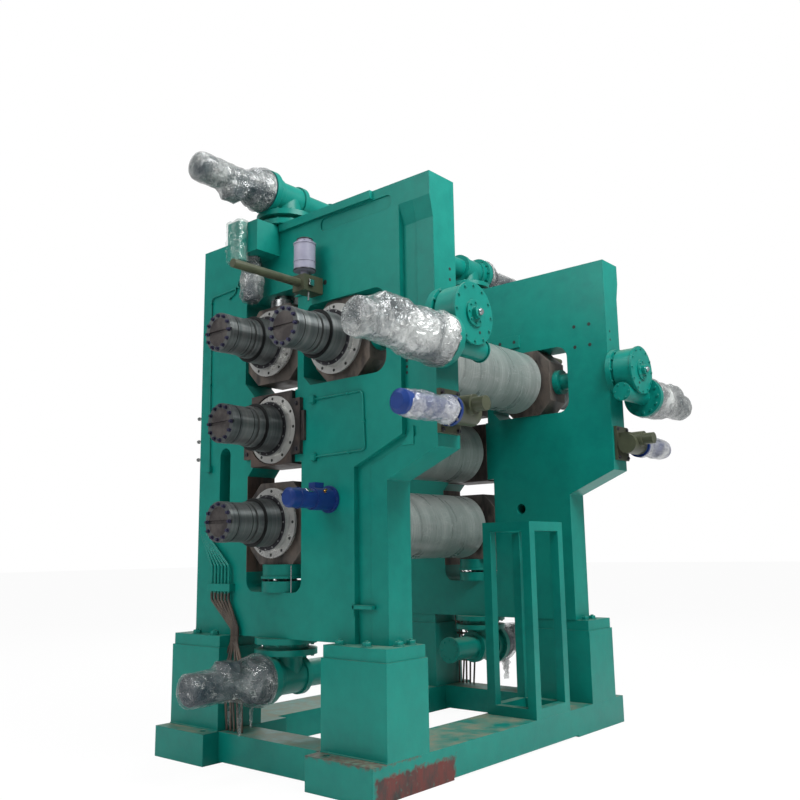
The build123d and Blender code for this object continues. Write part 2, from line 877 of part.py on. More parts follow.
def oil_pipe(index):
    """One pipe of the bank, from the top run to the foot of the frame."""
    shift = index * pipe_pitch
    y = -(frame_outer_y + pipe_stand_off)
    with BuildPart() as pipe:
        with BuildLine() as route:
            FilletPolyline(
                (pipe_top_x + shift / 4, y, pipe_top_z),
                (pipe_top_x + shift / 4, y, pipe_top_z - 60),
                (pipe_bend_x + shift, y, pipe_bend_z),
                (pipe_bend_x + shift, y, pipe_turn_z),
                (pipe_low_x + shift / 3, y, pipe_low_z),
                (pipe_low_x + shift / 3, y, frame_foot_z),
                radius=30,
            )
        with BuildSketch(Plane(origin=route.line @ 0, z_dir=route.line % 0)):
            Circle(pipe_radius)
        sweep()
    return pipe.part


with BuildPart() as pipe_bank:
    for index in range(pipe_count):
        add(oil_pipe(index))
    middle_of_bank = pipe_bend_x + (pipe_count - 1) * pipe_pitch / 2
    with BuildSketch(side_plane(frame_outer_y, middle_of_bank, clamp_z)):
        Rectangle(pipe_count * pipe_pitch + clamp_height / 2, clamp_height)
    extrude(amount=pipe_stand_off + 2 * pipe_radius)
keep(both_sides(pipe_bank.part), "oil_pipes")

with BuildPart() as stand:
    half = stand_tube / 2
    near_y, far_y = stand_near_y + half, stand_near_y + stand_width - half
    back_x, front_x = base_half_length - stand_depth + half, base_half_length - half
    with BuildSketch(floor_plane(base_top_z)):
        with Locations((back_x, near_y), (back_x, far_y), (front_x, near_y), (front_x, far_y)):
            Rectangle(stand_tube, stand_tube)
    extrude(amount=stand_height)
    for z in (base_top_z, base_top_z + stand_height - stand_tube):
        with BuildSketch(floor_plane(z)):
            with Locations(((back_x + front_x) / 2, (near_y + far_y) / 2)):
                Rectangle(stand_depth, stand_width)
                Rectangle(stand_depth - 2 * stand_tube, stand_width - 2 * stand_tube, mode=Mode.SUBTRACT)
        extrude(amount=stand_tube)
keep(stand.part, "stand_frame")


def pedestal():
    """The near front pedestal: a box column with its set-in top plate."""
    mid_x = base_half_length - pedestal_length / 2
    mid_y = (pedestal_outer_y + pedestal_inner_y) / 2
    width = pedestal_outer_y - pedestal_inner_y
    plate_z = frame_foot_z - pedestal_plate_thickness
    inset = 2 * pedestal_plate_inset
    with BuildPart() as column:
        with BuildSketch(floor_plane(base_top_z, mid_x, -mid_y)):
            Rectangle(pedestal_length, width)
        extrude(amount=plate_z - base_top_z)
        with BuildSketch(floor_plane(plate_z, mid_x, -mid_y)):
            Rectangle(pedestal_length - inset, width - inset)
        extrude(amount=pedestal_plate_thickness)
    return column.part


def cross_beam():
    """The front base beam, welded to the two corner blocks that take the anchors."""
    block_mid_x = base_half_length - block_length / 2
    block_mid_y = (block_outer_y + block_inner_y) / 2
    anchor_x = base_half_length - block_length + anchor_inset_x
    anchor_y = block_outer_y - anchor_inset_y
    with BuildPart() as beam:
        with BuildSketch():
            with Locations((block_mid_x, -block_mid_y), (block_mid_x, block_mid_y)):
                Rectangle(block_length, block_outer_y - block_inner_y)
        extrude(amount=base_top_z)
        with BuildSketch(floor_plane(beam_lift)):
            with Locations((base_half_length - cross_beam_width / 2, 0)):
                Rectangle(cross_beam_width, 2 * block_inner_y)
        extrude(amount=base_top_z - beam_lift)
        with BuildSketch():
            with Locations((anchor_x, -anchor_y), (anchor_x, anchor_y)):
                Circle(anchor_hole_radius)
        extrude(amount=base_top_z, mode=Mode.SUBTRACT)
    return beam.part


with BuildPart() as side_beam:
    with BuildSketch(floor_plane(beam_lift, 0, -side_beam_outer_y + side_beam_width / 2)):
        Rectangle(2 * (base_half_length - block_length), side_beam_width)
    extrude(amount=base_top_z - beam_lift)

front_pedestal = pedestal()
rear_pedestal = mirror(front_pedestal, about=Plane.YZ)
keep(front_pedestal, "pedestal_front_near")
keep(mirrored(front_pedestal), "pedestal_front_far")
keep(rear_pedestal, "pedestal_rear_near")
keep(mirrored(rear_pedestal), "pedestal_rear_far")
front_beam = cross_beam()
keep(front_beam, "base_front_beam")
keep(mirror(front_beam, about=Plane.YZ), "base_rear_beam")
keep(side_beam.part, "base_near_beam")
keep(mirrored(side_beam.part), "base_far_beam")
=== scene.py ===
import math

import bmesh
import bpy
from mathutils import Matrix, Vector, noise


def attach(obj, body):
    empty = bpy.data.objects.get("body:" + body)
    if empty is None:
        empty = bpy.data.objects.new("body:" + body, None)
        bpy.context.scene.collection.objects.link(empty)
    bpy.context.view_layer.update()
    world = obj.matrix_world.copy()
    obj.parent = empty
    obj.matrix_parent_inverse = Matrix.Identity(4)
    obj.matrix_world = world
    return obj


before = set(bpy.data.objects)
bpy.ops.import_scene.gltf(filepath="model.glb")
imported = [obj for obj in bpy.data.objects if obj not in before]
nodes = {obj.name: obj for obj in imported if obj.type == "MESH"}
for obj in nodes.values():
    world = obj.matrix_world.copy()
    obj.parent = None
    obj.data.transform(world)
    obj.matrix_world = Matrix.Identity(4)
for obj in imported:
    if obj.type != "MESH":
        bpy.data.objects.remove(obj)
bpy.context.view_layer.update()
scene = bpy.context.scene

# Sizes in metres, the same as the model's
FACE_Y = 1.460
MID_Y = 1.315
ROLL_END_Y = 2.000
ROLL_FACE_Y = 1.030
JOURNAL_GROOVES = (1.683, 1.751, 1.790, 1.925)
COVER_FLANGE_Y = 1.484
COVER_HUB_Y = 1.530
FRAME_FRONT_X = 1.530
FRAME_FOOT_Z = 0.955
ROLL_CENTRES = {
    "bottom": (-0.110, 1.836),
    "middle": (-0.110, 2.580),
    "top": (-0.160, 3.300),
    "offset": (0.590, 3.213),
}
CARRIERS = {
    "bottom": "carriage_bottom",
    "middle": "frame",
    "top": "carriage_top",
    "offset": "carriage_offset",
}
SIDES = (-1, 1)


def paint(red, green, blue):
    """A colour written as 0 to 255 values, as the shaders want it."""
    def linear(value):
        value /= 255
        return value / 12.92 if value <= 0.04045 else ((value + 0.055) / 1.055) ** 2.4
    return (linear(red), linear(green), linear(blue), 1.0)


# Node trees


class Graph:
    """Adds nodes to a tree, and joins sockets or sets plain values."""

    def __init__(self, tree):
        self.tree = tree

    def add(self, kind, sockets=None, **settings):
        node = self.tree.nodes.new(kind)
        for key, value in settings.items():
            setattr(node, key, value)
        self.feed(node.inputs, sockets or {})
        return node

    def feed(self, inputs, sockets):
        """Joins each named input to its socket, or sets its plain value."""
        for key, value in sockets.items():
            if isinstance(value, bpy.types.NodeSocket):
                self.tree.links.new(value, inputs[key])
            else:
                inputs[key].default_value = value

    def sum(self, operation, first, second=0.0, third=0.0):
        kind = "ShaderNodeMath"
        return self.add(kind, {0: first, 1: second, 2: third}, operation=operation).outputs[0]

    def times(self, first, second):
        return self.sum("MULTIPLY", first, second)

    def vector(self, operation, first, second=(0, 0, 0), third=(0, 0, 0)):
        sockets = {0: first, 1: second, 2: third}
        return self.add("ShaderNodeVectorMath", sockets, operation=operation).outputs[0]

    def scaled(self, vector, scale):
        sockets = {0: vector, 3: scale}
        return self.add("ShaderNodeVectorMath", sockets, operation="SCALE").outputs[0]

    def combined(self, x=0.0, y=0.0, z=0.0):
        return self.add("ShaderNodeCombineXYZ", {0: x, 1: y, 2: z}).outputs[0]

    def separated(self, vector):
        return self.add("ShaderNodeSeparateXYZ", {0: vector}).outputs

    def blend(self, share, first, second):
        return self.add("ShaderNodeMix", {0: share, 6: first, 7: second}, data_type="RGBA").outputs[2]

    def between(self, share, first, second):
        return self.add("ShaderNodeMix", {0: share, 2: first, 3: second}).outputs[0]

    def span(self, value, low, high, to_low=0.0, to_high=1.0):
        sockets = {0: value, 1: low, 2: high, 3: to_low, 4: to_high}
        return self.add("ShaderNodeMapRange", sockets, clamp=True).outputs[0]

    def noise(self, place, scale, detail=3.0, rough=0.55, output="Fac"):
        sockets = {"Vector": place, "Scale": scale, "Detail": detail, "Roughness": rough}
        return self.add("ShaderNodeTexNoise", sockets).outputs[output]

    def stretch(self, place, scale):
        sockets = {"Vector": place, "Scale": scale}
        return self.add("ShaderNodeMapping", sockets).outputs[0]

    def group(self, tree, sockets):
        node = self.add("ShaderNodeGroup", node_tree=tree)
        self.feed(node.inputs, sockets)
        return node.outputs


SOCKET_KINDS = {
    "colour": "NodeSocketColor",
    "number": "NodeSocketFloat",
    "vector": "NodeSocketVector",
    "shape": "NodeSocketGeometry",
    "material": "NodeSocketMaterial",
}


def socket_kind(value):
    """The kind of socket that a word names, or that holds a plain value."""
    if isinstance(value, str):
        return SOCKET_KINDS[value]
    if isinstance(value, tuple):
        return SOCKET_KINDS["colour" if len(value) == 4 else "vector"]
    return "NodeSocketInt" if isinstance(value, int) else "NodeSocketFloat"


def new_tree(name, kind, inputs, outputs):
    """A node tree with named sockets. Returns it with its graph, inlets and outlet node."""
    tree = bpy.data.node_groups.new(name, kind)
    for in_out, sockets in (("INPUT", inputs), ("OUTPUT", outputs)):
        for label, value in sockets.items():
            wanted = socket_kind(value)
            socket = tree.interface.new_socket(label, in_out=in_out, socket_type=wanted)
            if not isinstance(value, str):
                socket.default_value = value
    graph = Graph(tree)
    inlets = graph.add("NodeGroupInput").outputs
    outlet = graph.add("NodeGroupOutput").inputs
    return tree, graph, inlets, outlet


SKIN_OUTLETS = {"Colour": "colour", "Roughness": "number", "Height": "number"}


def object_place(graph):
    return graph.add("ShaderNodeTexCoord").outputs["Object"]


def enamel_group():
    """Brushed and sprayed enamel: patches, specks, orange peel, and dust on what faces up."""
    tree, graph, given, out = new_tree(
        "enamel skin",
        "ShaderNodeTree",
        {
            "Colour": paint(40, 128, 112),
            "Shade": paint(28, 100, 90),
            "Dust Colour": paint(122, 118, 100),
            "Dust": 0.5,
            "Grain": 1.0,
        },
        SKIN_OUTLETS,
    )
    place = object_place(graph)
    broad = graph.noise(place, 0.9, 4.0)
    mottle = graph.noise(place, 9.0, 5.0, 0.6)
    patch = graph.sum("MULTIPLY_ADD", mottle, 0.4, graph.times(broad, 0.6))
    shade = graph.span(patch, 0.38, 0.66)
    colour = graph.blend(shade, given["Shade"], given["Colour"])
    facing = graph.separated(graph.add("ShaderNodeNewGeometry").outputs["Normal"])
    upward = graph.span(facing["Z"], 0.6, 0.95)
    settled = graph.span(graph.noise(place, 5.0, 6.0, 0.7), 0.36, 0.62)
    dust = graph.times(graph.times(upward, settled), given["Dust"])
    colour = graph.blend(dust, colour, given["Dust Colour"])
    peel = graph.noise(place, 190.0, 2.0)
    wave = graph.noise(place, 14.0, 3.0)
    specks = graph.span(graph.noise(place, 75.0, 2.0), 0.7, 0.78)
    colour = graph.blend(graph.times(specks, 0.3), colour, given["Shade"])
    height = graph.sum("MULTIPLY_ADD", peel, 0.18, graph.times(wave, 0.9))
    graph.feed(out, {"Colour": colour})
    rough = graph.sum("MULTIPLY_ADD", dust, 0.4, graph.span(patch, 0.3, 0.8, 0.30, 0.42))
    graph.feed(out, {"Roughness": rough, "Height": graph.times(height, given["Grain"])})
    return tree


def casting_group():
    """Raw machined casting with brown bloom, oil stains and cutter marks."""
    tree, graph, given, out = new_tree(
        "raw casting",
        "ShaderNodeTree",
        {"Colour": paint(98, 86, 80), "Stain": paint(52, 46, 44), "Bloom": paint(120, 92, 76)},
        SKIN_OUTLETS,
    )
    place = object_place(graph)
    broad = graph.noise(place, 4.0, 5.0, 0.65)
    runs = graph.noise(graph.stretch(place, (9.0, 9.0, 3.0)), 1.0, 5.0, 0.65)
    fine = graph.noise(place, 60.0, 3.0)
    colour = graph.blend(graph.span(broad, 0.4, 0.66), given["Colour"], given["Bloom"])
    colour = graph.blend(graph.span(runs, 0.46, 0.64), colour, given["Stain"])
    colour = graph.blend(graph.span(fine, 0.62, 0.75, 0.0, 0.5), colour, given["Stain"])
    graph.feed(out, {
        "Colour": colour,
        "Roughness": graph.span(runs, 0.35, 0.7, 0.62, 0.34),
        "Height": graph.sum("MULTIPLY_ADD", fine, 0.6, broad),
    })
    return tree


def film_group():
    """Stretch film pulled round a machine part: sharp crinkles, and milky folds whose lines also carry a
    painted highlight.
    """
    tree, graph, given, out = new_tree(
        "film crinkle",
        "ShaderNodeTree",
        {"Scale": 1.0, "Along": (1.0, 1.0, 1.0)},
        {"Height": "number", "Fold And Highlight": "number", "Haze": "number"},
    )
    place = graph.scaled(graph.vector("MULTIPLY", object_place(graph), given["Along"]), given["Scale"])
    warp = graph.noise(place, 5.0, 3.0, output="Color")
    bent = graph.vector("MULTIPLY_ADD", warp, (0.22, 0.22, 0.22), place)
    crumple = 0.0
    for scale, weight in ((13.0, 1.0), (32.0, 0.55), (72.0, 0.3)):
        cells = graph.add("ShaderNodeTexVoronoi", {"Vector": bent, "Scale": scale}).outputs["Distance"]
        crumple = graph.sum("MULTIPLY_ADD", cells, weight, crumple)
    # Fold lines: bumps in the film, and the mask for its painted highlight.
    fold_and_highlight = 0.0
    drawn = graph.stretch(bent, (1.0, 0.55, 1.0))
    for scale, width in ((19.0, 0.030), (44.0, 0.040)):
        edge = {"Vector": drawn, "Scale": scale}
        edge = graph.add("ShaderNodeTexVoronoi", edge, feature="DISTANCE_TO_EDGE").outputs["Distance"]
        fold_and_highlight = graph.sum("MAXIMUM", fold_and_highlight, graph.span(edge, 0.0, width, 1.0, 0.0))
    fold_and_highlight = graph.times(fold_and_highlight, graph.span(graph.noise(place, 15.0, 3.0), 0.46, 0.6))
    haze = graph.span(graph.noise(bent, 4.0, 5.0, 0.65), 0.36, 0.66)
    height = graph.sum("MULTIPLY_ADD", fold_and_highlight, 0.25, crumple)
    graph.feed(out, {"Height": height, "Fold And Highlight": fold_and_highlight, "Haze": haze})
    return tree


def turning_group():
    """Fine lathe marks round the Y axis, with a few deeper rings and smears of oil."""
    tree, graph, given, out = new_tree(
        "turning marks",
        "ShaderNodeTree",
        {"Pitch": 420.0},
        {"Height": "number", "Streak": "number", "Smear": "number"},
    )
    place = object_place(graph)
    marks = graph.noise(graph.stretch(place, (0.5, 1.0, 0.5)), given["Pitch"], 2.0)
    streak = graph.noise(graph.stretch(place, (0.6, 26.0, 0.6)), 1.0, 4.0)
    smear = graph.noise(place, 7.0, 5.0, 0.6)
    graph.feed(out, {
        "Height": graph.sum("MULTIPLY_ADD", marks, 0.4, streak),
        "Streak": graph.span(streak, 0.35, 0.68),
        "Smear": graph.span(smear, 0.42, 0.62),
    })
    return tree


def region_group():
    """1 inside a box of the object's own space and 0 outside, with a soft or ragged edge."""
    tree, graph, given, out = new_tree(
        "box region",
        "ShaderNodeTree",
        {"Centre": (0.0, 0.0, 0.0), "Half Size": (1.0, 1.0, 1.0), "Edge": 0.002, "Ragged": 0.0},
        {"Inside": "number"},
    )
    place = object_place(graph)
    away = graph.vector("ABSOLUTE", graph.vector("SUBTRACT", place, given["Centre"]))
    parts = graph.separated(graph.vector("SUBTRACT", away, given["Half Size"]))
    beyond = graph.sum("MAXIMUM", graph.sum("MAXIMUM", parts[0], parts[1]), parts[2])
    ragged = graph.sum("SUBTRACT", graph.noise(place, 26.0, 4.0), 0.5)
    beyond = graph.sum("MULTIPLY_ADD", ragged, given["Ragged"], beyond)
    share = graph.sum("DIVIDE", beyond, given["Edge"])
    graph.feed(out, {"Inside": graph.span(share, -1.0, 1.0, 1.0, 0.0)})
    return tree


ENAMEL = enamel_group()
CASTING = casting_group()
FILM = film_group()
TURNING = turning_group()
REGION = region_group()


# Materials


def start_material(name):
    material = bpy.data.materials.new(name)
    material.use_nodes = True
    graph = Graph(material.node_tree)
    return material, graph, material.node_tree.nodes["Principled BSDF"]


def rounded_bump(graph, shader, height, depth, edge=0.004):
    """A bump on normals that are rounded at the edges, as sprayed corners look."""
    soft = graph.add("ShaderNodeBevel", {"Radius": edge}, samples=4).outputs[0]
    sockets = {"Height": height, "Distance": depth, "Normal": soft}
    bump = graph.add("ShaderNodeBump", sockets).outputs[0]
    graph.feed(shader.inputs, {"Normal": bump})


def enamel(name, colour, shade, dust=0.5, grain=1.0, patches=()):
    """Sprayed enamel, with patches given as (centre, half size, ragged, colour)."""
    material, graph, shader = start_material(name)
    skin = graph.group(ENAMEL, {"Colour": colour, "Shade": shade, "Dust": dust, "Grain": grain})
    look, rough = skin["Colour"], skin["Roughness"]
    for centre, half_size, ragged, patch_colour in patches:
        sockets = {"Centre": centre, "Half Size": half_size, "Ragged": ragged, "Edge": 0.003 + ragged / 8}
        inside = graph.group(REGION, sockets)["Inside"]
        raw = graph.group(CASTING, {"Colour": patch_colour, "Bloom": patch_colour})
        look = graph.blend(inside, look, raw["Colour"])
        rough = graph.between(inside, rough, raw["Roughness"])
    graph.feed(shader.inputs, {"Base Color": look, "Roughness": rough})
    shader.inputs["Specular IOR Level"].default_value = 0.2
    rounded_bump(graph, shader, skin["Height"], 0.0012)
    return material


def casting(name, colour, stain, bloom, metallic=0.35):
    material, graph, shader = start_material(name)
    skin = graph.group(CASTING, {"Colour": colour, "Stain": stain, "Bloom": bloom})
    graph.feed(shader.inputs, {"Base Color": skin["Colour"], "Roughness": skin["Roughness"]})
    graph.feed(shader.inputs, {"Metallic": metallic})
    rounded_bump(graph, shader, skin["Height"], 0.0010)
    return material


def turned_steel(name, bright, dark, metallic, smooth=0.24, rough=0.42):
    material, graph, shader = start_material(name)
    marks = graph.group(TURNING, {})
    colour = graph.blend(marks["Streak"], dark, bright)
    colour = graph.blend(graph.times(marks["Smear"], 0.45), colour, dark)
    graph.feed(shader.inputs, {
        "Base Color": colour,
        "Roughness": graph.between(marks["Smear"], smooth, rough),
    })
    shader.inputs["Metallic"].default_value = metallic
    rounded_bump(graph, shader, marks["Height"], 0.0003, 0.002)
    return material


def roll_finish(name, centre_x, centre_z):
    """One roll: film round the working face with a faint painted highlight on its folds, oiled black
    journals with painted shade in their grooves, and raw brown ends.
    """
    material, graph, shader = start_material(name)
    place = object_place(graph)
    sockets = {"Vector": place, "Location": (-centre_x, 0.0, -centre_z)}
    own = graph.add("ShaderNodeMapping", sockets).outputs[0]
    parts = graph.separated(own)
    along = graph.sum("ABSOLUTE", parts["Y"])
    lean = graph.sum("MULTIPLY_ADD", parts["Z"], 0.16, parts["Y"])
    lay = graph.combined(parts["X"], lean, parts["Z"])
    bands = graph.noise(graph.stretch(lay, (1.0, 6.0, 1.0)), 1.3, 4.0, 0.6)
    wraps = graph.noise(graph.stretch(lay, (2.0, 55.0, 2.0)), 1.0, 3.0, 0.6)
    film = graph.group(FILM, {"Scale": 0.8, "Along": (1.0, 0.5, 1.0)})
    marks = graph.group(TURNING, {})
    cloudy = graph.blend(graph.span(bands, 0.3, 0.7), paint(96, 103, 101), paint(132, 138, 135))
    cloudy = graph.blend(graph.span(wraps, 0.5, 0.75, 0.0, 0.4), cloudy, paint(168, 173, 169))
    # Fold lines a little paler: a faint painted highlight on the film's crinkles.
    cloudy = graph.blend(graph.times(film["Fold And Highlight"], 0.16), cloudy, paint(214, 216, 212))
    black = graph.blend(marks["Streak"], paint(70, 75, 76), paint(104, 107, 106))
    # Near-black rings at the journal grooves: painted shade in them.
    for groove in JOURNAL_GROOVES:
        near = graph.sum("ABSOLUTE", graph.sum("SUBTRACT", along, groove))
        black = graph.blend(graph.span(near, 0.003, 0.0055, 0.85, 0.0), black, paint(18, 20, 20))
    brown = graph.blend(marks["Smear"], paint(58, 54, 54), paint(84, 80, 78))
    beyond_face = graph.span(along, ROLL_FACE_Y - 0.001, ROLL_FACE_Y + 0.001)
    at_end = graph.span(along, ROLL_END_Y - 0.0135, ROLL_END_Y - 0.0125)
    reach = {0: graph.vector("MULTIPLY", own, (1.0, 0.0, 1.0))}
    reach = graph.add("ShaderNodeVectorMath", reach, operation="LENGTH").outputs["Value"]
    inner_end = graph.times(at_end, graph.span(reach, 0.111, 0.112, 1.0, 0.0))
    colour = graph.blend(beyond_face, cloudy, black)
    colour = graph.blend(inner_end, colour, brown)
    face_rough = graph.span(bands, 0.3, 0.7, 0.24, 0.36)
    rough = graph.between(beyond_face, face_rough, graph.between(marks["Smear"], 0.42, 0.5))
    rough = graph.between(inner_end, rough, 0.5)
    face_height = graph.sum("MULTIPLY_ADD", film["Height"], 0.1, graph.times(wraps, 0.5))
    height = graph.between(beyond_face, face_height, 0.0)
    graph.feed(shader.inputs, {
        "Base Color": colour,
        "Roughness": rough,
        "Metallic": graph.between(beyond_face, 0.3, 0.7),
    })
    normal = graph.add("ShaderNodeNewGeometry").outputs["Normal"]
    endward = graph.sum("ABSOLUTE", graph.separated(normal)["Y"])
    sideward = graph.sum("SUBTRACT", 1.0, endward)
    turned = graph.times(graph.between(beyond_face, 0.0, 0.85), sideward)
    axis = graph.combined(endward, sideward)
    bump = graph.add("ShaderNodeBump", {"Height": height, "Distance": 0.0012}).outputs[0]
    graph.feed(shader.inputs, {"Anisotropic": turned, "Tangent": axis, "Normal": bump})
    return material


def film_finish(name, deep, pale, cover, metallic=0.15):
    """Clear film over paint: milky where it folds, with a painted near-white highlight on the fold lines,
    and see-through where it lies flat.
    """
    material, graph, shader = start_material(name)
    film = graph.group(FILM, {"Scale": 1.0})
    colour = graph.blend(film["Haze"], deep, pale)
    # Fold lines painted near white: partly milky film, partly a painted highlight.
    colour = graph.blend(graph.times(film["Fold And Highlight"], 0.85), colour, paint(246, 246, 242))
    shown = graph.span(film["Haze"], 0.0, 1.0, cover - 0.25, cover + 0.25)
    bump = graph.add("ShaderNodeBump", {"Height": film["Height"], "Distance": 0.015}).outputs[0]
    graph.feed(shader.inputs, {
        "Base Color": colour,
        "Roughness": graph.between(film["Haze"], 0.12, 0.26),
        "Alpha": graph.sum("MAXIMUM", film["Fold And Highlight"], shown),
        "Metallic": metallic,
        "Coat Weight": 0.8,
        "Coat Roughness": 0.06,
        "Normal": bump,
    })
    return material


GREEN, GREEN_SHADE = paint(6, 117, 105), paint(4, 102, 93)
PRIMER, RAW_BROWN = paint(92, 48, 44), paint(86, 72, 64)
LINERS = [
    ((-0.4305, side * MID_Y, 1.84), (0.004, 0.16, 0.385), 0.0, RAW_BROWN) for side in SIDES
]
green = enamel("green_enamel", GREEN, GREEN_SHADE)
frame_green = enamel("frame_green", GREEN, GREEN_SHADE, dust=0.3, patches=LINERS)
PRIMER_PATCH = ((1.20, -1.30, 0.05), (0.03, 0.42, 0.11), 0.10, PRIMER)
LEDGES = ((1.20, -1.52, 0.235), (0.66, 0.24, 0.004), 0.10, RAW_BROWN)
base_green = enamel("base_green", GREEN, GREEN_SHADE, dust=0.8, patches=(PRIMER_PATCH, LEDGES))
blue = enamel("blue_enamel", paint(24, 52, 112), paint(16, 38, 88), dust=0.25)
olive = enamel("olive_enamel", paint(72, 76, 58), paint(54, 58, 46), dust=0.3)
silver_grey = enamel("grey_enamel", paint(150, 150, 166), paint(112, 112, 128), dust=0.3)
motor_paint = enamel("motor_paint", paint(40, 52, 62), paint(26, 34, 42), dust=0.2)
PIPE_FEET = [
    ((-0.70, side * 1.5, 1.11), (0.5, 0.2, 0.175), 0.05, paint(78, 70, 62)) for side in SIDES
]
pipe_green = enamel("pipe_green", GREEN, GREEN_SHADE, dust=0.2, patches=PIPE_FEET)
raw = casting("raw_casting", paint(80, 75, 71), paint(46, 43, 42), paint(96, 86, 78))
dark_raw = casting("dark_casting", paint(60, 54, 52), paint(34, 31, 31), paint(84, 70, 62))
ring_steel = turned_steel("ring_steel", paint(204, 204, 200), paint(128, 130, 130), 0.7, 0.26, 0.42)
screw_steel = turned_steel("screw_steel", paint(170, 172, 172), paint(96, 98, 98), 0.9)
chrome = turned_steel("chrome", paint(226, 228, 230), paint(180, 184, 188), 1.0, 0.1, 0.2)
black_steel = turned_steel("black_steel", paint(58, 58, 64), paint(24, 24, 28), 0.6, 0.3, 0.5)
bolt_blue = turned_steel("bolt_blue", paint(74, 72, 104), paint(34, 34, 52), 0.7, 0.25, 0.4)
brass = turned_steel("brass", paint(206, 166, 88), paint(140, 104, 48), 0.9, 0.2, 0.35)
hose = casting("hose", paint(74, 64, 56), paint(40, 34, 30), paint(96, 82, 70), 0.1)
# Near-black for holes, bores and bolt holes: painted shade in them.
hole_shade = casting("painted_hole_shade", paint(16, 22, 21), paint(8, 10, 10), paint(24, 30, 28), 0.0)
grey_film = film_finish("grey_film", paint(84, 94, 98), paint(160, 164, 162), 0.62)
silver_film = film_finish("silver_film", paint(104, 112, 114), paint(184, 188, 186), 0.82, 0.3)
thin_film = film_finish("thin_film", paint(70, 84, 90), paint(140, 146, 146), 0.45)
blue_film = film_finish("blue_film", paint(104, 112, 136), paint(192, 194, 194), 0.72)
clear_film = film_finish("clear_film", paint(60, 130, 118), paint(190, 206, 198), 0.28)

NODE_FINISHES = {
    "side_frame": frame_green,
    "base_": base_green,
    "pedestal": green,
    "stand_frame": green,
    "gearboxes": green,
    "indicator_boxes": green,
    "indicator_motors": motor_paint,
    "oil_pipes": pipe_green,
    "nut_flanges": green,
    "housing": raw,
    "housing_middle": dark_raw,
    "bearing_covers": ring_steel,
    "screws_bottom": green,
    "screws_offset": green,
    "screws": screw_steel,
    "motors": motor_paint,
    "crossing_gearboxes": olive,
    "crossing_motors": blue,
    "face_gear_motors": blue,
    "shaft_drives": olive,
    "shaft_drive_motors": silver_grey,
}


def finish_for(name):
    starts = [start for start in NODE_FINISHES if name.startswith(start)]
    return NODE_FINISHES[max(starts, key=len)]


def dress_nodes():
    for name, node in nodes.items():
        roll = name.removeprefix("roll_")
        if roll in ROLL_CENTRES and name.startswith("roll_"):
            finish = roll_finish(f"{name}_finish", *ROLL_CENTRES[roll])
        else:
            finish = finish_for(name)
        for slot in node.material_slots:
            slot.material = finish


dress_nodes()


# Shapes


def mesh_from(bm, name="shape"):
    mesh = bpy.data.meshes.new(name)
    bm.to_mesh(mesh)
    bm.free()
    return mesh


def lathe(profile, steps=40):
    """A solid of revolution about Z from (radius, height) points, closed at its poles or ends."""
    bm = bmesh.new()
    rings = []
    for radius, height in profile:
        if radius <= 0:
            rings.append([bm.verts.new((0, 0, height))])
            continue
        turns = (2 * math.pi * step / steps for step in range(steps))
        rings.append([bm.verts.new((radius * math.cos(a), radius * math.sin(a), height)) for a in turns])
    closed = len(rings[0]) > 1 and len(rings[-1]) > 1
    pairs = zip(rings, rings[1:] + rings[:1]) if closed else zip(rings, rings[1:])
    for lower, upper in pairs:
        for step in range(steps):
            after = (step + 1) % steps
            corners = [lower[step % len(lower)], lower[after % len(lower)]]
            corners += [upper[after % len(upper)], upper[step % len(upper)]]
            corners = list(dict.fromkeys(corners))
            if len(corners) > 2:
                bm.faces.new(corners)
    bmesh.ops.recalc_face_normals(bm, faces=bm.faces)
    return mesh_from(bm)


def block(size, centre=(0, 0, 0), bevel=0.004):
    """A box with eased edges."""
    bm = bmesh.new()
    bmesh.ops.create_cube(bm, size=1)
    bmesh.ops.scale(bm, vec=size, verts=bm.verts)
    bmesh.ops.bevel(bm, geom=bm.edges, offset=bevel, segments=2, affect="EDGES")
    bmesh.ops.translate(bm, vec=centre, verts=bm.verts)
    return mesh_from(bm)


def prism(outline, thickness):
    """A flat plate along Z from (x, y) corners in turn."""
    bm = bmesh.new()
    face = bm.faces.new([bm.verts.new((x, y, 0)) for x, y in outline])
    risen = bmesh.ops.extrude_face_region(bm, geom=[face])["geom"]
    lifted = [item for item in risen if isinstance(item, bmesh.types.BMVert)]
    bmesh.ops.translate(bm, vec=(0, 0, thickness), verts=lifted)
    bmesh.ops.recalc_face_normals(bm, faces=bm.faces)
    return mesh_from(bm)


def facing(direction, origin):
    """The place of a shape whose Z points along a direction from an origin."""
    turn = Vector(direction).to_track_quat("Z", "Y").to_matrix().to_4x4()
    return Matrix.Translation(origin) @ turn


def on_side(side, direction, place):
    """The place of a shape on one side, from the far side's direction and origin."""
    (turn_x, turn_y, turn_z), (x, y, z) = direction, place
    return facing((turn_x, side * turn_y, turn_z), (x, side * y, z))


OUTWARD, INWARD, FORWARD = (0, 1, 0), (0, -1, 0), (1, 0, 0)
UPWARD, DOWNWARD = (0, 0, 1), (0, 0, -1)


def rod(radius, height, tip, steps):
    """A round pin or disc, whose end stands at tip and its rim at height."""
    return lathe([(0.0, 0.0), (radius, 0.0), (radius, height), (0.0, tip)], steps)


def placed(mesh, place):
    mesh.transform(place)
    return mesh


def piece(name, body, parts, smooth_angle=35):
    """Joins (mesh, material) parts into one object that rides on a body."""
    bm = bmesh.new()
    materials = []
    for mesh, material in parts:
        if material not in materials:
            materials.append(material)
        before = len(bm.faces)
        bm.from_mesh(mesh)
        bm.faces.ensure_lookup_table()
        for face in bm.faces[before:]:
            face.material_index = materials.index(material)
            face.smooth = True
    mesh = mesh_from(bm, name)
    for material in materials:
        mesh.materials.append(material)
    mesh.set_sharp_from_angle(angle=math.radians(smooth_angle))
    thing = bpy.data.objects.new(name, mesh)
    scene.collection.objects.link(thing)
    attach(thing, body)
    return thing


# Geometry Nodes for what repeats


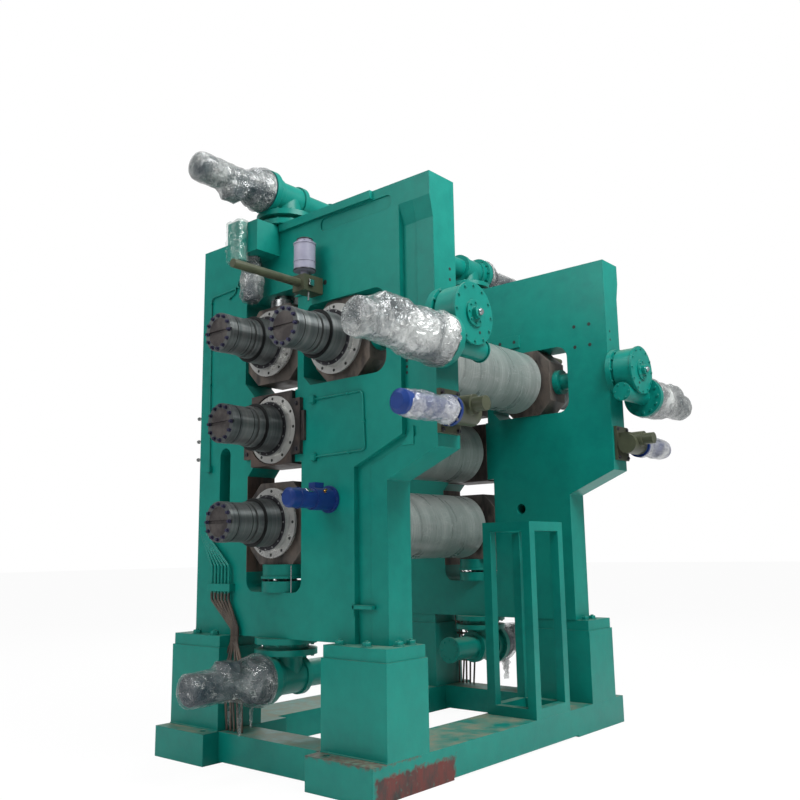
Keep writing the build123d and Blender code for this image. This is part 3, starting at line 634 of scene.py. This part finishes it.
def grown(tree, values, route=()):
    """Runs a tree, on a line of points where one is given, and returns its plain mesh."""
    seed = bpy.data.meshes.new("seed")
    seed.from_pydata(route, [(i, i + 1) for i in range(len(route) - 1)], [])
    holder = bpy.data.objects.new("holder", seed)
    scene.collection.objects.link(holder)
    modifier = holder.modifiers.new("grow", "NODES")
    modifier.node_group = tree
    for item in tree.interface.items_tree:
        if item.item_type == "SOCKET" and item.in_out == "INPUT" and item.name in values:
            modifier[item.identifier] = values[item.name]
    finished = holder.evaluated_get(bpy.context.evaluated_depsgraph_get())
    mesh = bpy.data.meshes.new_from_object(finished)
    holder.modifiers.remove(modifier)
    bpy.data.objects.remove(holder)
    return mesh


def finish_tree(graph, shape, material, out):
    whole = graph.add("GeometryNodeRealizeInstances", {0: shape}).outputs[0]
    dressed = graph.add("GeometryNodeSetMaterial", {"Geometry": whole, "Material": material})
    graph.feed(out, {"Shape": dressed.outputs[0]})


def joined(graph, first, second):
    both = graph.add("GeometryNodeJoinGeometry")
    graph.tree.links.new(first, both.inputs[0])
    graph.tree.links.new(second, both.inputs[0])
    return both.outputs[0]


def bolt_head(graph, given):
    """A head on its washer, standing on the XY plane."""
    head = graph.add(
        "GeometryNodeMeshCylinder",
        {"Vertices": given["Sides"], "Radius": given["Head Radius"], "Depth": given["Head Height"]},
    ).outputs["Mesh"]
    lift = graph.combined(z=graph.times(given["Head Height"], 0.5))
    head = graph.add("GeometryNodeTransform", {"Geometry": head, "Translation": lift}).outputs[0]
    thin = graph.times(given["Head Height"], 0.25)
    sockets = {"Vertices": 14, "Radius": given["Washer Radius"], "Depth": thin}
    washer = graph.add("GeometryNodeMeshCylinder", sockets).outputs["Mesh"]
    return joined(graph, head, washer)


BOLT_SOCKETS = {
    "Shape": "shape",
    "Head Radius": 0.014,
    "Head Height": 0.012,
    "Washer Radius": 0.018,
    "Sides": 6,
    "Material": "material",
}


def bolt_circle_tree():
    tree, graph, given, out = new_tree(
        "bolt circle",
        "GeometryNodeTree",
        {**BOLT_SOCKETS, "Count": 12, "Circle Radius": 0.1},
        {"Shape": "shape"},
    )
    sockets = {"Vertices": given["Count"], "Radius": given["Circle Radius"]}
    circle = graph.add("GeometryNodeMeshCircle", sockets).outputs[0]
    sockets = {"Points": circle, "Instance": bolt_head(graph, given)}
    heads = graph.add("GeometryNodeInstanceOnPoints", sockets).outputs[0]
    finish_tree(graph, heads, given["Material"], out)
    return tree


def bolt_grid_tree():
    tree, graph, given, out = new_tree(
        "bolt grid",
        "GeometryNodeTree",
        {**BOLT_SOCKETS, "Across": 0.1, "Along": 0.1, "Count Across": 2, "Count Along": 2},
        {"Shape": "shape"},
    )
    grid = graph.add(
        "GeometryNodeMeshGrid",
        {
            "Size X": given["Across"],
            "Size Y": given["Along"],
            "Vertices X": given["Count Across"],
            "Vertices Y": given["Count Along"],
        },
    ).outputs[0]
    sockets = {"Points": grid, "Instance": bolt_head(graph, given)}
    heads = graph.add("GeometryNodeInstanceOnPoints", sockets).outputs[0]
    finish_tree(graph, heads, given["Material"], out)
    return tree


def pipe_tree():
    """A pipe with rounded bends along its line, and clips at even steps."""
    tree, graph, given, out = new_tree(
        "clipped pipe",
        "GeometryNodeTree",
        {
            "Shape": "shape",
            "Radius": 0.006,
            "Bend": 0.03,
            "Clip Step": 0.4,
            "Clip Size": 0.02,
            "Material": "material",
        },
        {"Shape": "shape"},
    )
    line = graph.add("GeometryNodeMeshToCurve", {0: given["Shape"]}).outputs[0]
    bend = graph.add("GeometryNodeFilletCurve")
    if "Mode" in bend.inputs:
        bend.inputs["Mode"].default_value = "Poly"
    else:
        bend.mode = "POLY"
    graph.feed(bend.inputs, {"Curve": line, "Radius": given["Bend"], "Count": 5})
    route = bend.outputs[0]
    sockets = {"Resolution": 10, "Radius": given["Radius"]}
    ring = graph.add("GeometryNodeCurvePrimitiveCircle", sockets).outputs[0]
    sockets = {"Curve": route, "Profile Curve": ring, "Fill Caps": True}
    pipe = graph.add("GeometryNodeCurveToMesh", sockets).outputs[0]
    sockets = {"Curve": route, "Length": given["Clip Step"]}
    stops = graph.add("GeometryNodeCurveToPoints", sockets, mode="LENGTH").outputs
    size = graph.combined(given["Clip Size"], given["Clip Size"], given["Clip Size"])
    clip = graph.add("GeometryNodeMeshCube", {"Size": size}).outputs[0]
    sockets = {"Points": stops["Points"], "Instance": clip, "Rotation": stops["Rotation"]}
    clips = graph.add("GeometryNodeInstanceOnPoints", sockets).outputs[0]
    finish_tree(graph, joined(graph, pipe, clips), given["Material"], out)
    return tree


BOLT_CIRCLE = bolt_circle_tree()
BOLT_GRID = bolt_grid_tree()
CLIPPED_PIPE = pipe_tree()


def bolts(tree, spread, head, height, material, place, sides=6, washer=1.3):
    """Bolt heads on a place's XY plane, spread as the tree's own sockets say."""
    values = {
        **spread,
        "Head Radius": head,
        "Head Height": height,
        "Washer Radius": head * washer,
        "Sides": sides,
        "Material": material,
    }
    return placed(grown(tree, values), place), material


def bolts_round(count, circle, *head):
    return bolts(BOLT_CIRCLE, {"Count": count, "Circle Radius": circle}, *head)


def bolts_in_rows(across, along, counts, *head):
    spread = {"Across": across, "Along": along, "Count Across": counts[0], "Count Along": counts[1]}
    return bolts(BOLT_GRID, spread, *head)


def pipe_run(route, radius, material, bend=0.03, clip_step=0.4, clip=0.0):
    values = {
        "Radius": radius,
        "Bend": bend,
        "Clip Step": clip_step,
        "Clip Size": max(clip, radius),
        "Material": material,
    }
    return grown(CLIPPED_PIPE, values, route), material


# Rolls and covers

CAP_BOLT_CIRCLE = 0.131
COVER_BOLT_CIRCLE = 0.249
SEAL_BOLT_CIRCLE = 0.204


def roll_end_bolts():
    for name, (x, z) in ROLL_CENTRES.items():
        parts = []
        for side in SIDES:
            place = on_side(side, OUTWARD, (x, ROLL_END_Y, z))
            parts.append(bolts_round(12, CAP_BOLT_CIRCLE, 0.0125, 0.020, bolt_blue, place))
        piece(f"end_cap_bolts_{name}", f"roll_{name}_turning", parts)


def seal_ring():
    """The dark seal plate round the journal, just proud of the cover's hub."""
    return lathe([(0.1895, 0.0), (0.2165, 0.0), (0.2165, 0.006), (0.2140, 0.008), (0.1895, 0.008)], 56)


def cover_fittings():
    for name, (x, z) in ROLL_CENTRES.items():
        parts = []
        for side in SIDES:
            hub = on_side(side, OUTWARD, (x, COVER_HUB_Y, z))
            flange = on_side(side, OUTWARD, (x, COVER_FLANGE_Y, z))
            parts.append((placed(seal_ring(), hub), black_steel))
            seal = hub @ Matrix.Translation((0, 0, 0.008))
            parts.append(bolts_round(16, SEAL_BOLT_CIRCLE, 0.006, 0.004, screw_steel, seal, 10))
            # Dark discs on the cover flange's bolt circle: painted shade in its bolt holes.
            parts.append(bolts_round(12, COVER_BOLT_CIRCLE, 0.0125, 0.0012, hole_shade, flange, 14, 1.0))
        piece(f"cover_bolts_{name}", CARRIERS[name], parts)


roll_end_bolts()
cover_fittings()

# Film round the motors


def box_reach(turn, radius, box):
    """How far film stands out at a turn round a barrel, stretched over a box's top at turn 0."""
    half_width, top = box
    corner = math.atan2(half_width, top)
    far = math.hypot(half_width, top)
    turn = abs((turn + math.pi) % (2 * math.pi) - math.pi)
    if turn < corner:
        return top / math.cos(turn)
    return far + (radius - far) * min(1.0, (turn - corner) / 0.8)


def film_sleeve(sections, seed, box=None, rings=110, around=120, depth=0.010):
    """Crumpled film round a part along Z, from (distance, radius) sections and a terminal box.

    The box is given as (from, to, half width, top, turn), the turn being where it stands."""
    bm = bmesh.new()
    levels = []
    length = sections[-1][0]
    for ring in range(rings + 1):
        along = length * ring / rings
        low = max(i for i, (at, _) in enumerate(sections[:-1]) if at <= along)
        (start, near_radius), (end, far_radius) = sections[low], sections[low + 1]
        way = (along - start) / (end - start)
        base = near_radius + (far_radius - near_radius) * way * way * (3 - 2 * way)
        stretch = 0.0
        if box:
            outside = max(box[0] - along, along - box[1], 0.0)
            stretch = max(0.0, 1 - outside / 0.09) ** 1.5
        level = []
        for step in range(around):
            angle = 2 * math.pi * step / around
            out = Vector((math.cos(angle), math.sin(angle), 0))
            reach = base
            if stretch > 0:
                reach += max(0.0, box_reach(angle - box[4], base, box[2:4]) - base) * stretch
            where = Vector((out.x * reach, out.y * reach, along))
            lump = noise.noise(where * 5 + Vector((seed, 0, 0)))
            ridges = noise.ridged_multi_fractal(where * 9 + Vector((0, seed, 0)), 0.9, 2.1, 3, 1.0, 2.0)
            radius = reach + depth * (0.8 * lump + 0.6 * (ridges - 1.1))
            level.append(bm.verts.new((out.x * radius, out.y * radius, along)))
        levels.append(level)
    for lower, upper in zip(levels, levels[1:]):
        for step in range(around):
            after = (step + 1) % around
            bm.faces.new((lower[step], lower[after], upper[after], upper[step]))
    pole = bm.verts.new((0, 0, length))
    for step in range(around):
        bm.faces.new((levels[-1][step], levels[-1][(step + 1) % around], pole))
    return mesh_from(bm)


UP, DOWN = math.pi / 2, -math.pi / 2
TOP_FILM = ((0, 0.182), (0.03, 0.188), (0.11, 0.166), (0.18, 0.130), (0.24, 0.117), (0.40, 0.115),
            (0.53, 0.118), (0.62, 0.120), (0.665, 0.115), (0.685, 0.096), (0.690, 0.070))
LOW_FILM = ((0, 0.190), (0.05, 0.197), (0.12, 0.182), (0.20, 0.152), (0.28, 0.128), (0.42, 0.119),
            (0.55, 0.121), (0.64, 0.123), (0.685, 0.117), (0.698, 0.100), (0.702, 0.070))
FRONT_FILM = ((0, 0.186), (0.04, 0.193), (0.14, 0.178), (0.26, 0.182), (0.36, 0.168), (0.44, 0.138),
              (0.56, 0.130), (0.68, 0.134), (0.77, 0.134), (0.81, 0.130), (0.825, 0.118), (0.829, 0.090))
FILMED_MOTORS = {
    "top": ((-0.160, 1.572, 4.600), TOP_FILM, (0.248, 0.371, 0.071, 0.175, DOWN), grey_film),
    "bottom": ((-0.110, 1.562, 0.655), LOW_FILM, (0.258, 0.381, 0.071, 0.175, UP), thin_film),
    "front": ((1.680, 1.572, 2.998), FRONT_FILM, (0.420, 0.640, 0.080, 0.182, UP), silver_film),
}
CROSSING_FILM = ((0, 0.100), (0.05, 0.102), (0.12, 0.090), (0.3, 0.100), (0.42, 0.096), (0.47, 0.090),
                 (0.50, 0.07))
CROSSING_MOTOR_X, CROSSING_MOTOR_Z = 1.655, 2.533


def motor_film():
    for number, (name, (place, sections, box, finish)) in enumerate(FILMED_MOTORS.items()):
        parts = []
        for side in SIDES:
            sleeve = film_sleeve(sections, 3.1 * number + side, box)
            parts.append((placed(sleeve, on_side(side, OUTWARD, place)), finish))
        piece(f"film_motors_{name}", "frame", parts, 80)
    parts = []
    for side in SIDES:
        sleeve = film_sleeve(CROSSING_FILM, 8.0 + side, None, 60, 70)
        place = on_side(side, OUTWARD, (CROSSING_MOTOR_X, 1.462, CROSSING_MOTOR_Z))
        parts.append((placed(sleeve, place), blue_film))
    piece("film_crossing_motors", "frame", parts, 80)


motor_film()


def wrapped_box(size, centre, seed, cuts=26, depth=0.012):
    """Film wrapped round a box."""
    bm = bmesh.new()
    bmesh.ops.create_cube(bm, size=1)
    bmesh.ops.subdivide_edges(bm, edges=bm.edges, cuts=cuts, use_grid_fill=True)
    for vert in bm.verts:
        way = vert.co.normalized() * 0.62
        where = Vector(a * b for a, b in zip(vert.co.lerp(way, 0.12), size))
        ridges = noise.ridged_multi_fractal(where * 14 + Vector((seed, 0, 0)), 0.9, 2.1, 3, 1.0, 2.0)
        vert.co = where + where.normalized() * depth * (ridges - 1.1) + Vector(centre)
    return mesh_from(bm)


def box_film():
    lifter = ((0, 0.078), (0.08, 0.084), (0.2, 0.098), (0.33, 0.096), (0.38, 0.070))
    parts = []
    for side in SIDES:
        parts.append((wrapped_box((0.175, 0.10, 0.36), (-0.265, side * 1.752, 4.125), side), clear_film))
        sleeve = film_sleeve(lifter, 21.0 + side, None, 50, 60, 0.016)
        parts.append((placed(sleeve, on_side(side, DOWNWARD, (-0.265, 1.585, 4.03))), grey_film))
    piece("film_indicators", "frame", parts, 80)


box_film()


# Bolts and small fittings on the drives


WORM_LIFT = 0.300
FRONT_WORM_X, FRONT_WORM_Z = 1.680, 2.998
OFFSET_Z = ROLL_CENTRES["offset"][1]


def drive_bolts():
    for name, x, z, up in (("top", -0.160, 4.300, 1), ("bottom", -0.110, FRAME_FOOT_Z, -1)):
        parts = []
        for side in SIDES:
            for lift in (0.045, 0.130):
                place = on_side(side, (0, 0, up), (x, MID_Y, z + up * lift))
                parts.append(bolts_round(12, 0.214, 0.014, 0.014, green, place))
            for y, count, circle, head in ((1.505, 12, 0.167, 0.012), (0.785, 8, 0.090, 0.010)):
                place = on_side(side, INWARD, (x, y, z + up * WORM_LIFT))
                parts.append(bolts_round(count, circle, head, head, green, place))
        piece(f"unit_bolts_{name}", "frame", parts)
    parts = []
    boss_outline = [(0.0, 0.0), (0.024, 0.0), (0.024, 0.012)]
    boss_outline += [(0.016, 0.014), (0.016, 0.022), (0.0, 0.022)]
    for side in SIDES:
        for x, circle, count, head in (
            (1.580, 0.206, 12, 0.012),
            (1.788, 0.198, 12, 0.010),
            (1.802, 0.074, 8, 0.008),
        ):
            place = on_side(side, FORWARD, (x, MID_Y, OFFSET_Z))
            parts.append(bolts_round(count, circle, head, head, green, place))
        boss = lathe(boss_outline, 20)
        parts.append((placed(boss, on_side(side, FORWARD, (1.836, MID_Y, OFFSET_Z))), chrome))
        # A dark disc on the drum face: painted shade in a plug hole.
        plug = rod(0.011, 0.002, 0.002, 14)
        parts.append((placed(plug, on_side(side, FORWARD, (1.788, 1.255, 3.085))), hole_shade))
        ring = on_side(side, INWARD, (FRONT_WORM_X, 1.530, FRONT_WORM_Z))
        parts.append(bolts_round(12, 0.150, 0.013, 0.012, green, ring))
        cap = on_side(side, INWARD, (FRONT_WORM_X, 1.100, FRONT_WORM_Z))
        parts.append(bolts_round(6, 0.068, 0.009, 0.008, green, cap))
    piece("unit_bolts_front", "frame", parts)


def crossing_fittings():
    parts = []
    for side in SIDES:
        place = on_side(side, FORWARD, (1.560, MID_Y, 2.550))
        parts.append(bolts_in_rows(0.175, 0.262, (2, 2), 0.014, 0.014, black_steel, place))
        place = on_side(side, OUTWARD, (CROSSING_MOTOR_X, 1.459, CROSSING_MOTOR_Z))
        parts.append(bolts_round(8, 0.097, 0.009, 0.008, screw_steel, place))
    piece("crossing_bolts", "frame", parts)


BREATHER = [(0.0, -0.004), (0.013, -0.004), (0.013, 0.012), (0.009, 0.014), (0.009, 0.026), (0.0, 0.028)]


def face_motor_fittings():
    parts = []
    for side in SIDES:
        centre = Vector((0.520, side * 1.480, 1.990))
        parts.append(bolts_round(6, 0.093, 0.008, 0.007, blue, facing((0, side, 0), centre)))
        out = Vector((0.80, 0, 0.60))
        seat = centre + out * 0.084 + Vector((0, side * 0.10, 0))
        parts.append((placed(lathe(BREATHER, 14), facing(out, seat)), brass))
        plate = block((0.052, 0.040, 0.003), (0, 0, 0), 0.001)
        out = Vector((0.62, 0, 0.78))
        seat = centre + out * 0.0725 + Vector((0, side * 0.23, 0))
        parts.append((placed(plate, facing(out, seat)), chrome))
        ring = lathe([(0.072, 0.0), (0.0765, 0.002), (0.0765, 0.016), (0.072, 0.018)], 36)
        parts.append((placed(ring, facing((0, side, 0), centre + Vector((0, side * 0.30, 0)))), blue))
    piece("face_motor_fittings", "frame", parts)


def shaft_drive_fittings():
    parts = []
    for side in SIDES:
        y = side * 1.595
        parts.append((block((0.022, 0.05, 0.05), (0.456, y, 3.66), 0.003), chrome))
        pin = rod(0.007, 0.075, 0.078, 10)
        parts.append((placed(pin, facing(DOWNWARD, (0.425, y, 3.597))), screw_steel))
        up = facing(UPWARD, (0.380, y, 3.765))
        for low, high, reach, finish in (
            (0.0, 0.014, 0.0885, black_steel),
            (0.070, 0.084, 0.0870, silver_grey),
            (0.214, 0.228, 0.0885, silver_grey),
        ):
            band = lathe([(0.080, low), (reach, low + 0.002), (reach, high - 0.002), (0.080, high)], 40)
            parts.append((placed(band, up), finish))
        cap = lathe([(0.0, 0.253), (0.064, 0.253), (0.064, 0.262), (0.050, 0.270), (0.0, 0.271)], 30)
        parts.append((placed(cap, up), black_steel))
        lid = up @ Matrix.Translation((0, 0, 0.230))
        parts.append(bolts_round(8, 0.074, 0.006, 0.006, black_steel, lid))
    piece("shaft_drive_fittings", "frame", parts)


drive_bolts()
crossing_fittings()
face_motor_fittings()
shaft_drive_fittings()


# Fittings on the frames


FOOT_NUT = [(0.0, 0.0), (0.032, 0.0), (0.034, 0.003), (0.034, 0.027), (0.030, 0.032), (0.0, 0.032)]


def frame_bolts():
    """The foot bolts on the pedestals, and the bolts of the middle arms."""
    parts = []
    for side in SIDES:
        places = [(x, 1.540) for x in (0.70, 0.96, -0.72, -0.95)]
        places += [(x, y) for x in (1.115, -1.135) for y in (1.25, 1.38)]
        for x, y in places:
            place = on_side(side, UPWARD, (x, y, FRAME_FOOT_Z))
            for shape in (rod(0.042, 0.006, 0.006, 24), lathe(FOOT_NUT, 6), rod(0.014, 0.040, 0.042, 12)):
                parts.append((placed(shape, place), green))
        arm = on_side(side, OUTWARD, (-0.110, FACE_Y + 0.034, 2.580))
        parts.append(bolts_in_rows(0.59, 0.36, (2, 2), 0.015, 0.012, black_steel, arm))
    piece("frame_bolts", "frame", parts)


def seat_bolts():
    nuts, seats = [], []
    for side in SIDES:
        top = on_side(side, UPWARD, (-0.110, MID_Y, 1.384))
        nuts.append(bolts_round(16, 0.178, 0.010, 0.008, black_steel, top))
        gauge = rod(0.006, 0.205, 0.206, 10)
        nuts.append((placed(gauge, on_side(side, UPWARD, (0.092, 1.450, 1.300))), chrome))
        under = on_side(side, DOWNWARD, (-0.110, MID_Y, 1.404))
        seats.append(bolts_round(16, 0.184, 0.010, 0.008, black_steel, under))
    piece("nut_flange_bolts", "frame", nuts)
    piece("seat_bolts", "carriage_bottom", seats)


PAD_X, PAD_DEPTH = 1.0, 0.012
INNER_HOLES = ((1.195, 3.50), (1.354, 3.50), (1.195, 3.70), (1.354, 3.70), (0.351, 3.668), (0.520, 3.663))


def holes():
    """Tapped holes and open bores, shown as dark discs of painted shade a hair above the paint."""
    spots = [(OUTWARD, (1.258, 1.415, z), 0.011) for z in (2.944, 2.900, 2.857)]
    spots.append((OUTWARD, (0.470, FACE_Y, 3.690), 0.020))
    for x, z in INNER_HOLES:
        depth = PAD_DEPTH if x < PAD_X else 0.0
        spots.append((INWARD, (x, 1.170 - depth, z), 0.017))
    spots += [(FORWARD, (FRAME_FRONT_X, 1.24, z), 0.012) for z in (3.53, 3.61)]
    parts = []
    for side in SIDES:
        for direction, place, radius in spots:
            disc = rod(radius, 0.0012, 0.0012, 20)
            parts.append((placed(disc, on_side(side, direction, place)), hole_shade))
    piece("frame_holes", "frame", parts)


TAP = [(0.0, 0.0), (0.010, 0.0), (0.010, 0.050), (0.016, 0.052), (0.016, 0.066), (0.0, 0.066)]


def conduits():
    """Thin lubrication pipes along the outer faces, with their end blocks and taps."""
    parts = []
    for side in SIDES:
        y = side * (FACE_Y + 0.010)
        runs = (
            [(-0.620, y, 3.870), (-0.955, y, 3.850), (-0.945, y, 3.000), (-0.930, y, 2.320)],
            [(0.347, y, 2.769), (0.870, y, 2.770), (0.893, y, 2.330), (0.360, y, 2.320)],
            [(0.300, y, 3.800), (0.250, y, 3.640), (0.140, y, 3.640)],
            [(-0.520, y, 3.960), (-0.640, y, 3.890), (-0.560, y, 3.860), (-0.700, y, 3.800)],
        )
        for route in runs:
            parts.append(pipe_run(route, 0.0065, green, 0.035, 0.33, 0.019))
        for x, z in ((0.347, 2.769), (0.360, 2.320), (-0.930, 2.320)):
            parts.append((block((0.050, 0.030, 0.060), (x, y + side * 0.005, z), 0.004), green))
        for z in (2.783, 2.578, 2.419):
            tap = lathe(TAP, 12)
            parts.append((placed(tap, facing((-1, 0, 0), (-1.075, side * 1.440, z))), screw_steel))
            parts.append((block((0.030, 0.040, 0.012), (-1.095, side * 1.440, z), 0.002), screw_steel))
    piece("conduits", "frame", parts)


def brackets():
    """The welded bar and the gusset on the front post."""
    parts = []
    for side in SIDES:
        parts.append((block((0.200, 0.040, 0.030), (0.845, side * 1.448, 1.212), 0.003), green))
        parts.append((block((0.020, 0.040, 0.090), (0.760, side * 1.448, 1.190), 0.003), green))
        gusset = prism([(0.0, 0.0), (0.115, 0.0), (0.115, 0.130)], 0.016)
        upright = Matrix.Rotation(math.pi / 2, 4, "X")
        place = Matrix.Translation((1.205, side * 1.424 + 0.008, 2.336)) @ upright
        parts.append((placed(gusset, place), green))
    piece("frame_brackets", "frame", parts)


def weld_beads():
    """Uneven beads along the feet of the pedestals."""
    parts = []
    steps = 60
    for end in (-1, 1):
        for side in SIDES:
            route = []
            for step in range(steps + 1):
                share = step / steps
                wobble = 0.003 * noise.noise(Vector((share * 40, end * 7 + side, 0)))
                x = end * (0.575 + (1.195 - 0.575) * share)
                route.append((x, side * (1.605 + wobble), 0.236 + abs(wobble)))
            parts.append(pipe_run(route, 0.007, green, 0.001, 0.9, 0.006))
    piece("weld_beads", "frame", parts)


def grease_hoses():
    """The hoses that carry on from the oil pipes below each frame's foot."""
    parts = []
    for side in SIDES:
        for step in range(6):
            start_x, x = -0.560 + 0.0147 * step, -0.600 + 0.046 * step
            sag = 0.010 * math.sin(step * 2.3)
            route = [
                (start_x, side * 1.494, 0.958),
                (start_x, side * 1.500, 0.900),
                (x + sag, side * 1.540, 0.760),
                (x - sag, side * 1.545, 0.480),
                (x, side * 1.530, 0.237),
            ]
            parts.append(pipe_run(route, 0.0095, hose, 0.05, 9.0, 0.0095))
        for z in (0.740, 0.470):
            parts.append((block((0.290, 0.030, 0.020), (-0.485, side * 1.543, z), 0.003), hose))
    piece("grease_hoses", "frame", parts)


def film_tail():
    """Loose ends of film that hang from the lower motors."""
    bm = bmesh.new()
    strands = ((-0.06, 1.70, 0.07, 0.34), (-0.12, 1.76, 0.09, 0.28), (-0.17, 1.82, 0.05, 0.36))
    for side in SIDES:
        for number, (x, y, width, low) in enumerate(strands):
            rows = []
            for row in range(31):
                share = row / 30
                z = 0.50 + (low - 0.50) * share
                line = []
                for column in range(9):
                    across = (column / 8 - 0.5) * width * (1 - 0.6 * share)
                    where = Vector((across * 30, share * 5, number * 3.0 + side))
                    sway = 0.018 * noise.noise(where)
                    line.append(bm.verts.new((x + across * 0.4 + sway, side * (y + across + sway), z)))
                rows.append(line)
            for upper, lower in zip(rows, rows[1:]):
                for column in range(8):
                    bm.faces.new((upper[column], upper[column + 1], lower[column + 1], lower[column]))
    piece("film_tails", "frame", [(mesh_from(bm), thin_film)], 80)


frame_bolts()
seat_bolts()
holes()
conduits()
brackets()
weld_beads()
grease_hoses()
film_tail()


# Camera, light and floor

CAMERA_PLACE = Vector((5.123, -6.038, 1.596))
CAMERA_TURN = math.radians(40.41)
CAMERA_RISE = math.radians(10.0)
CAMERA_ROLL = math.radians(-0.866)
CAMERA_LENS = 38.75


def set_camera():
    back = Vector((
        math.sin(CAMERA_TURN) * math.cos(CAMERA_RISE),
        -math.cos(CAMERA_TURN) * math.cos(CAMERA_RISE),
        -math.sin(CAMERA_RISE),
    ))
    right = Vector((0, 0, 1)).cross(back).normalized()
    up = back.cross(right)
    level = Matrix((right, up, back)).transposed()
    turned = level @ Matrix.Rotation(CAMERA_ROLL, 3, "Z")
    camera = bpy.data.objects.new("camera", bpy.data.cameras.new("camera"))
    camera.data.lens = CAMERA_LENS
    camera.data.clip_end = 200
    camera.matrix_world = Matrix.Translation(CAMERA_PLACE) @ turned.to_4x4()
    scene.collection.objects.link(camera)
    scene.camera = camera


def set_world():
    world = bpy.data.worlds.new("studio")
    world.use_nodes = True
    graph = Graph(world.node_tree)
    backdrop = world.node_tree.nodes["Background"]
    path = graph.add("ShaderNodeLightPath").outputs
    seen = graph.sum("MAXIMUM", path["Is Camera Ray"], path["Is Transmission Ray"])
    strength = graph.between(seen, graph.between(path["Is Glossy Ray"], 0.48, 0.42), 1.0)
    graph.feed(backdrop.inputs, {"Color": (1, 1, 1, 1), "Strength": strength})
    scene.world = world


def softbox(name, place, target, size, power):
    lamp = bpy.data.objects.new(name, bpy.data.lights.new(name, "AREA"))
    lamp.data.shape = "RECTANGLE"
    lamp.data.size, lamp.data.size_y = size
    lamp.data.energy = power
    lamp.location = place
    lamp.rotation_euler = (Vector(place) - Vector(target)).to_track_quat("Z", "Y").to_euler()
    scene.collection.objects.link(lamp)


def set_floor():
    bm = bmesh.new()
    bmesh.ops.create_grid(bm, x_segments=1, y_segments=1, size=90)
    mesh = mesh_from(bm, "floor")
    material, graph, shader = start_material("pale_floor")
    matt = {"Base Color": (0.9, 0.9, 0.9, 1), "Roughness": 0.9, "Specular IOR Level": 0.1}
    graph.feed(shader.inputs, matt)
    glow = graph.add("ShaderNodeEmission", {"Color": (1, 1, 1, 1), "Strength": 1.0})
    path = graph.add("ShaderNodeLightPath").outputs
    share = graph.times(path["Is Camera Ray"], 0.94)
    mixed = graph.add("ShaderNodeMixShader", {0: share, 1: shader.outputs[0], 2: glow.outputs[0]})
    surface = material.node_tree.nodes["Material Output"].inputs["Surface"]
    graph.tree.links.new(mixed.outputs[0], surface)
    mesh.materials.append(material)
    floor = bpy.data.objects.new("floor", mesh)
    scene.collection.objects.link(floor)


set_camera()
set_world()
softbox("front_box", (5.6, -0.6, 8.0), (0.6, 0, 3.2), (5, 4), 950)
softbox("top_box", (-0.5, -3.6, 8.5), (-0.5, -2.0, 3.0), (1.6, 5), 170)
softbox("side_box", (-1.5, -10.0, 7.0), (0, 0, 2.4), (6, 4), 350)
softbox("back_box", (-7.0, 7.0, 7.5), (0, 0, 2.4), (6, 4), 420)
set_floor()
scene.view_settings.view_transform = "Standard"
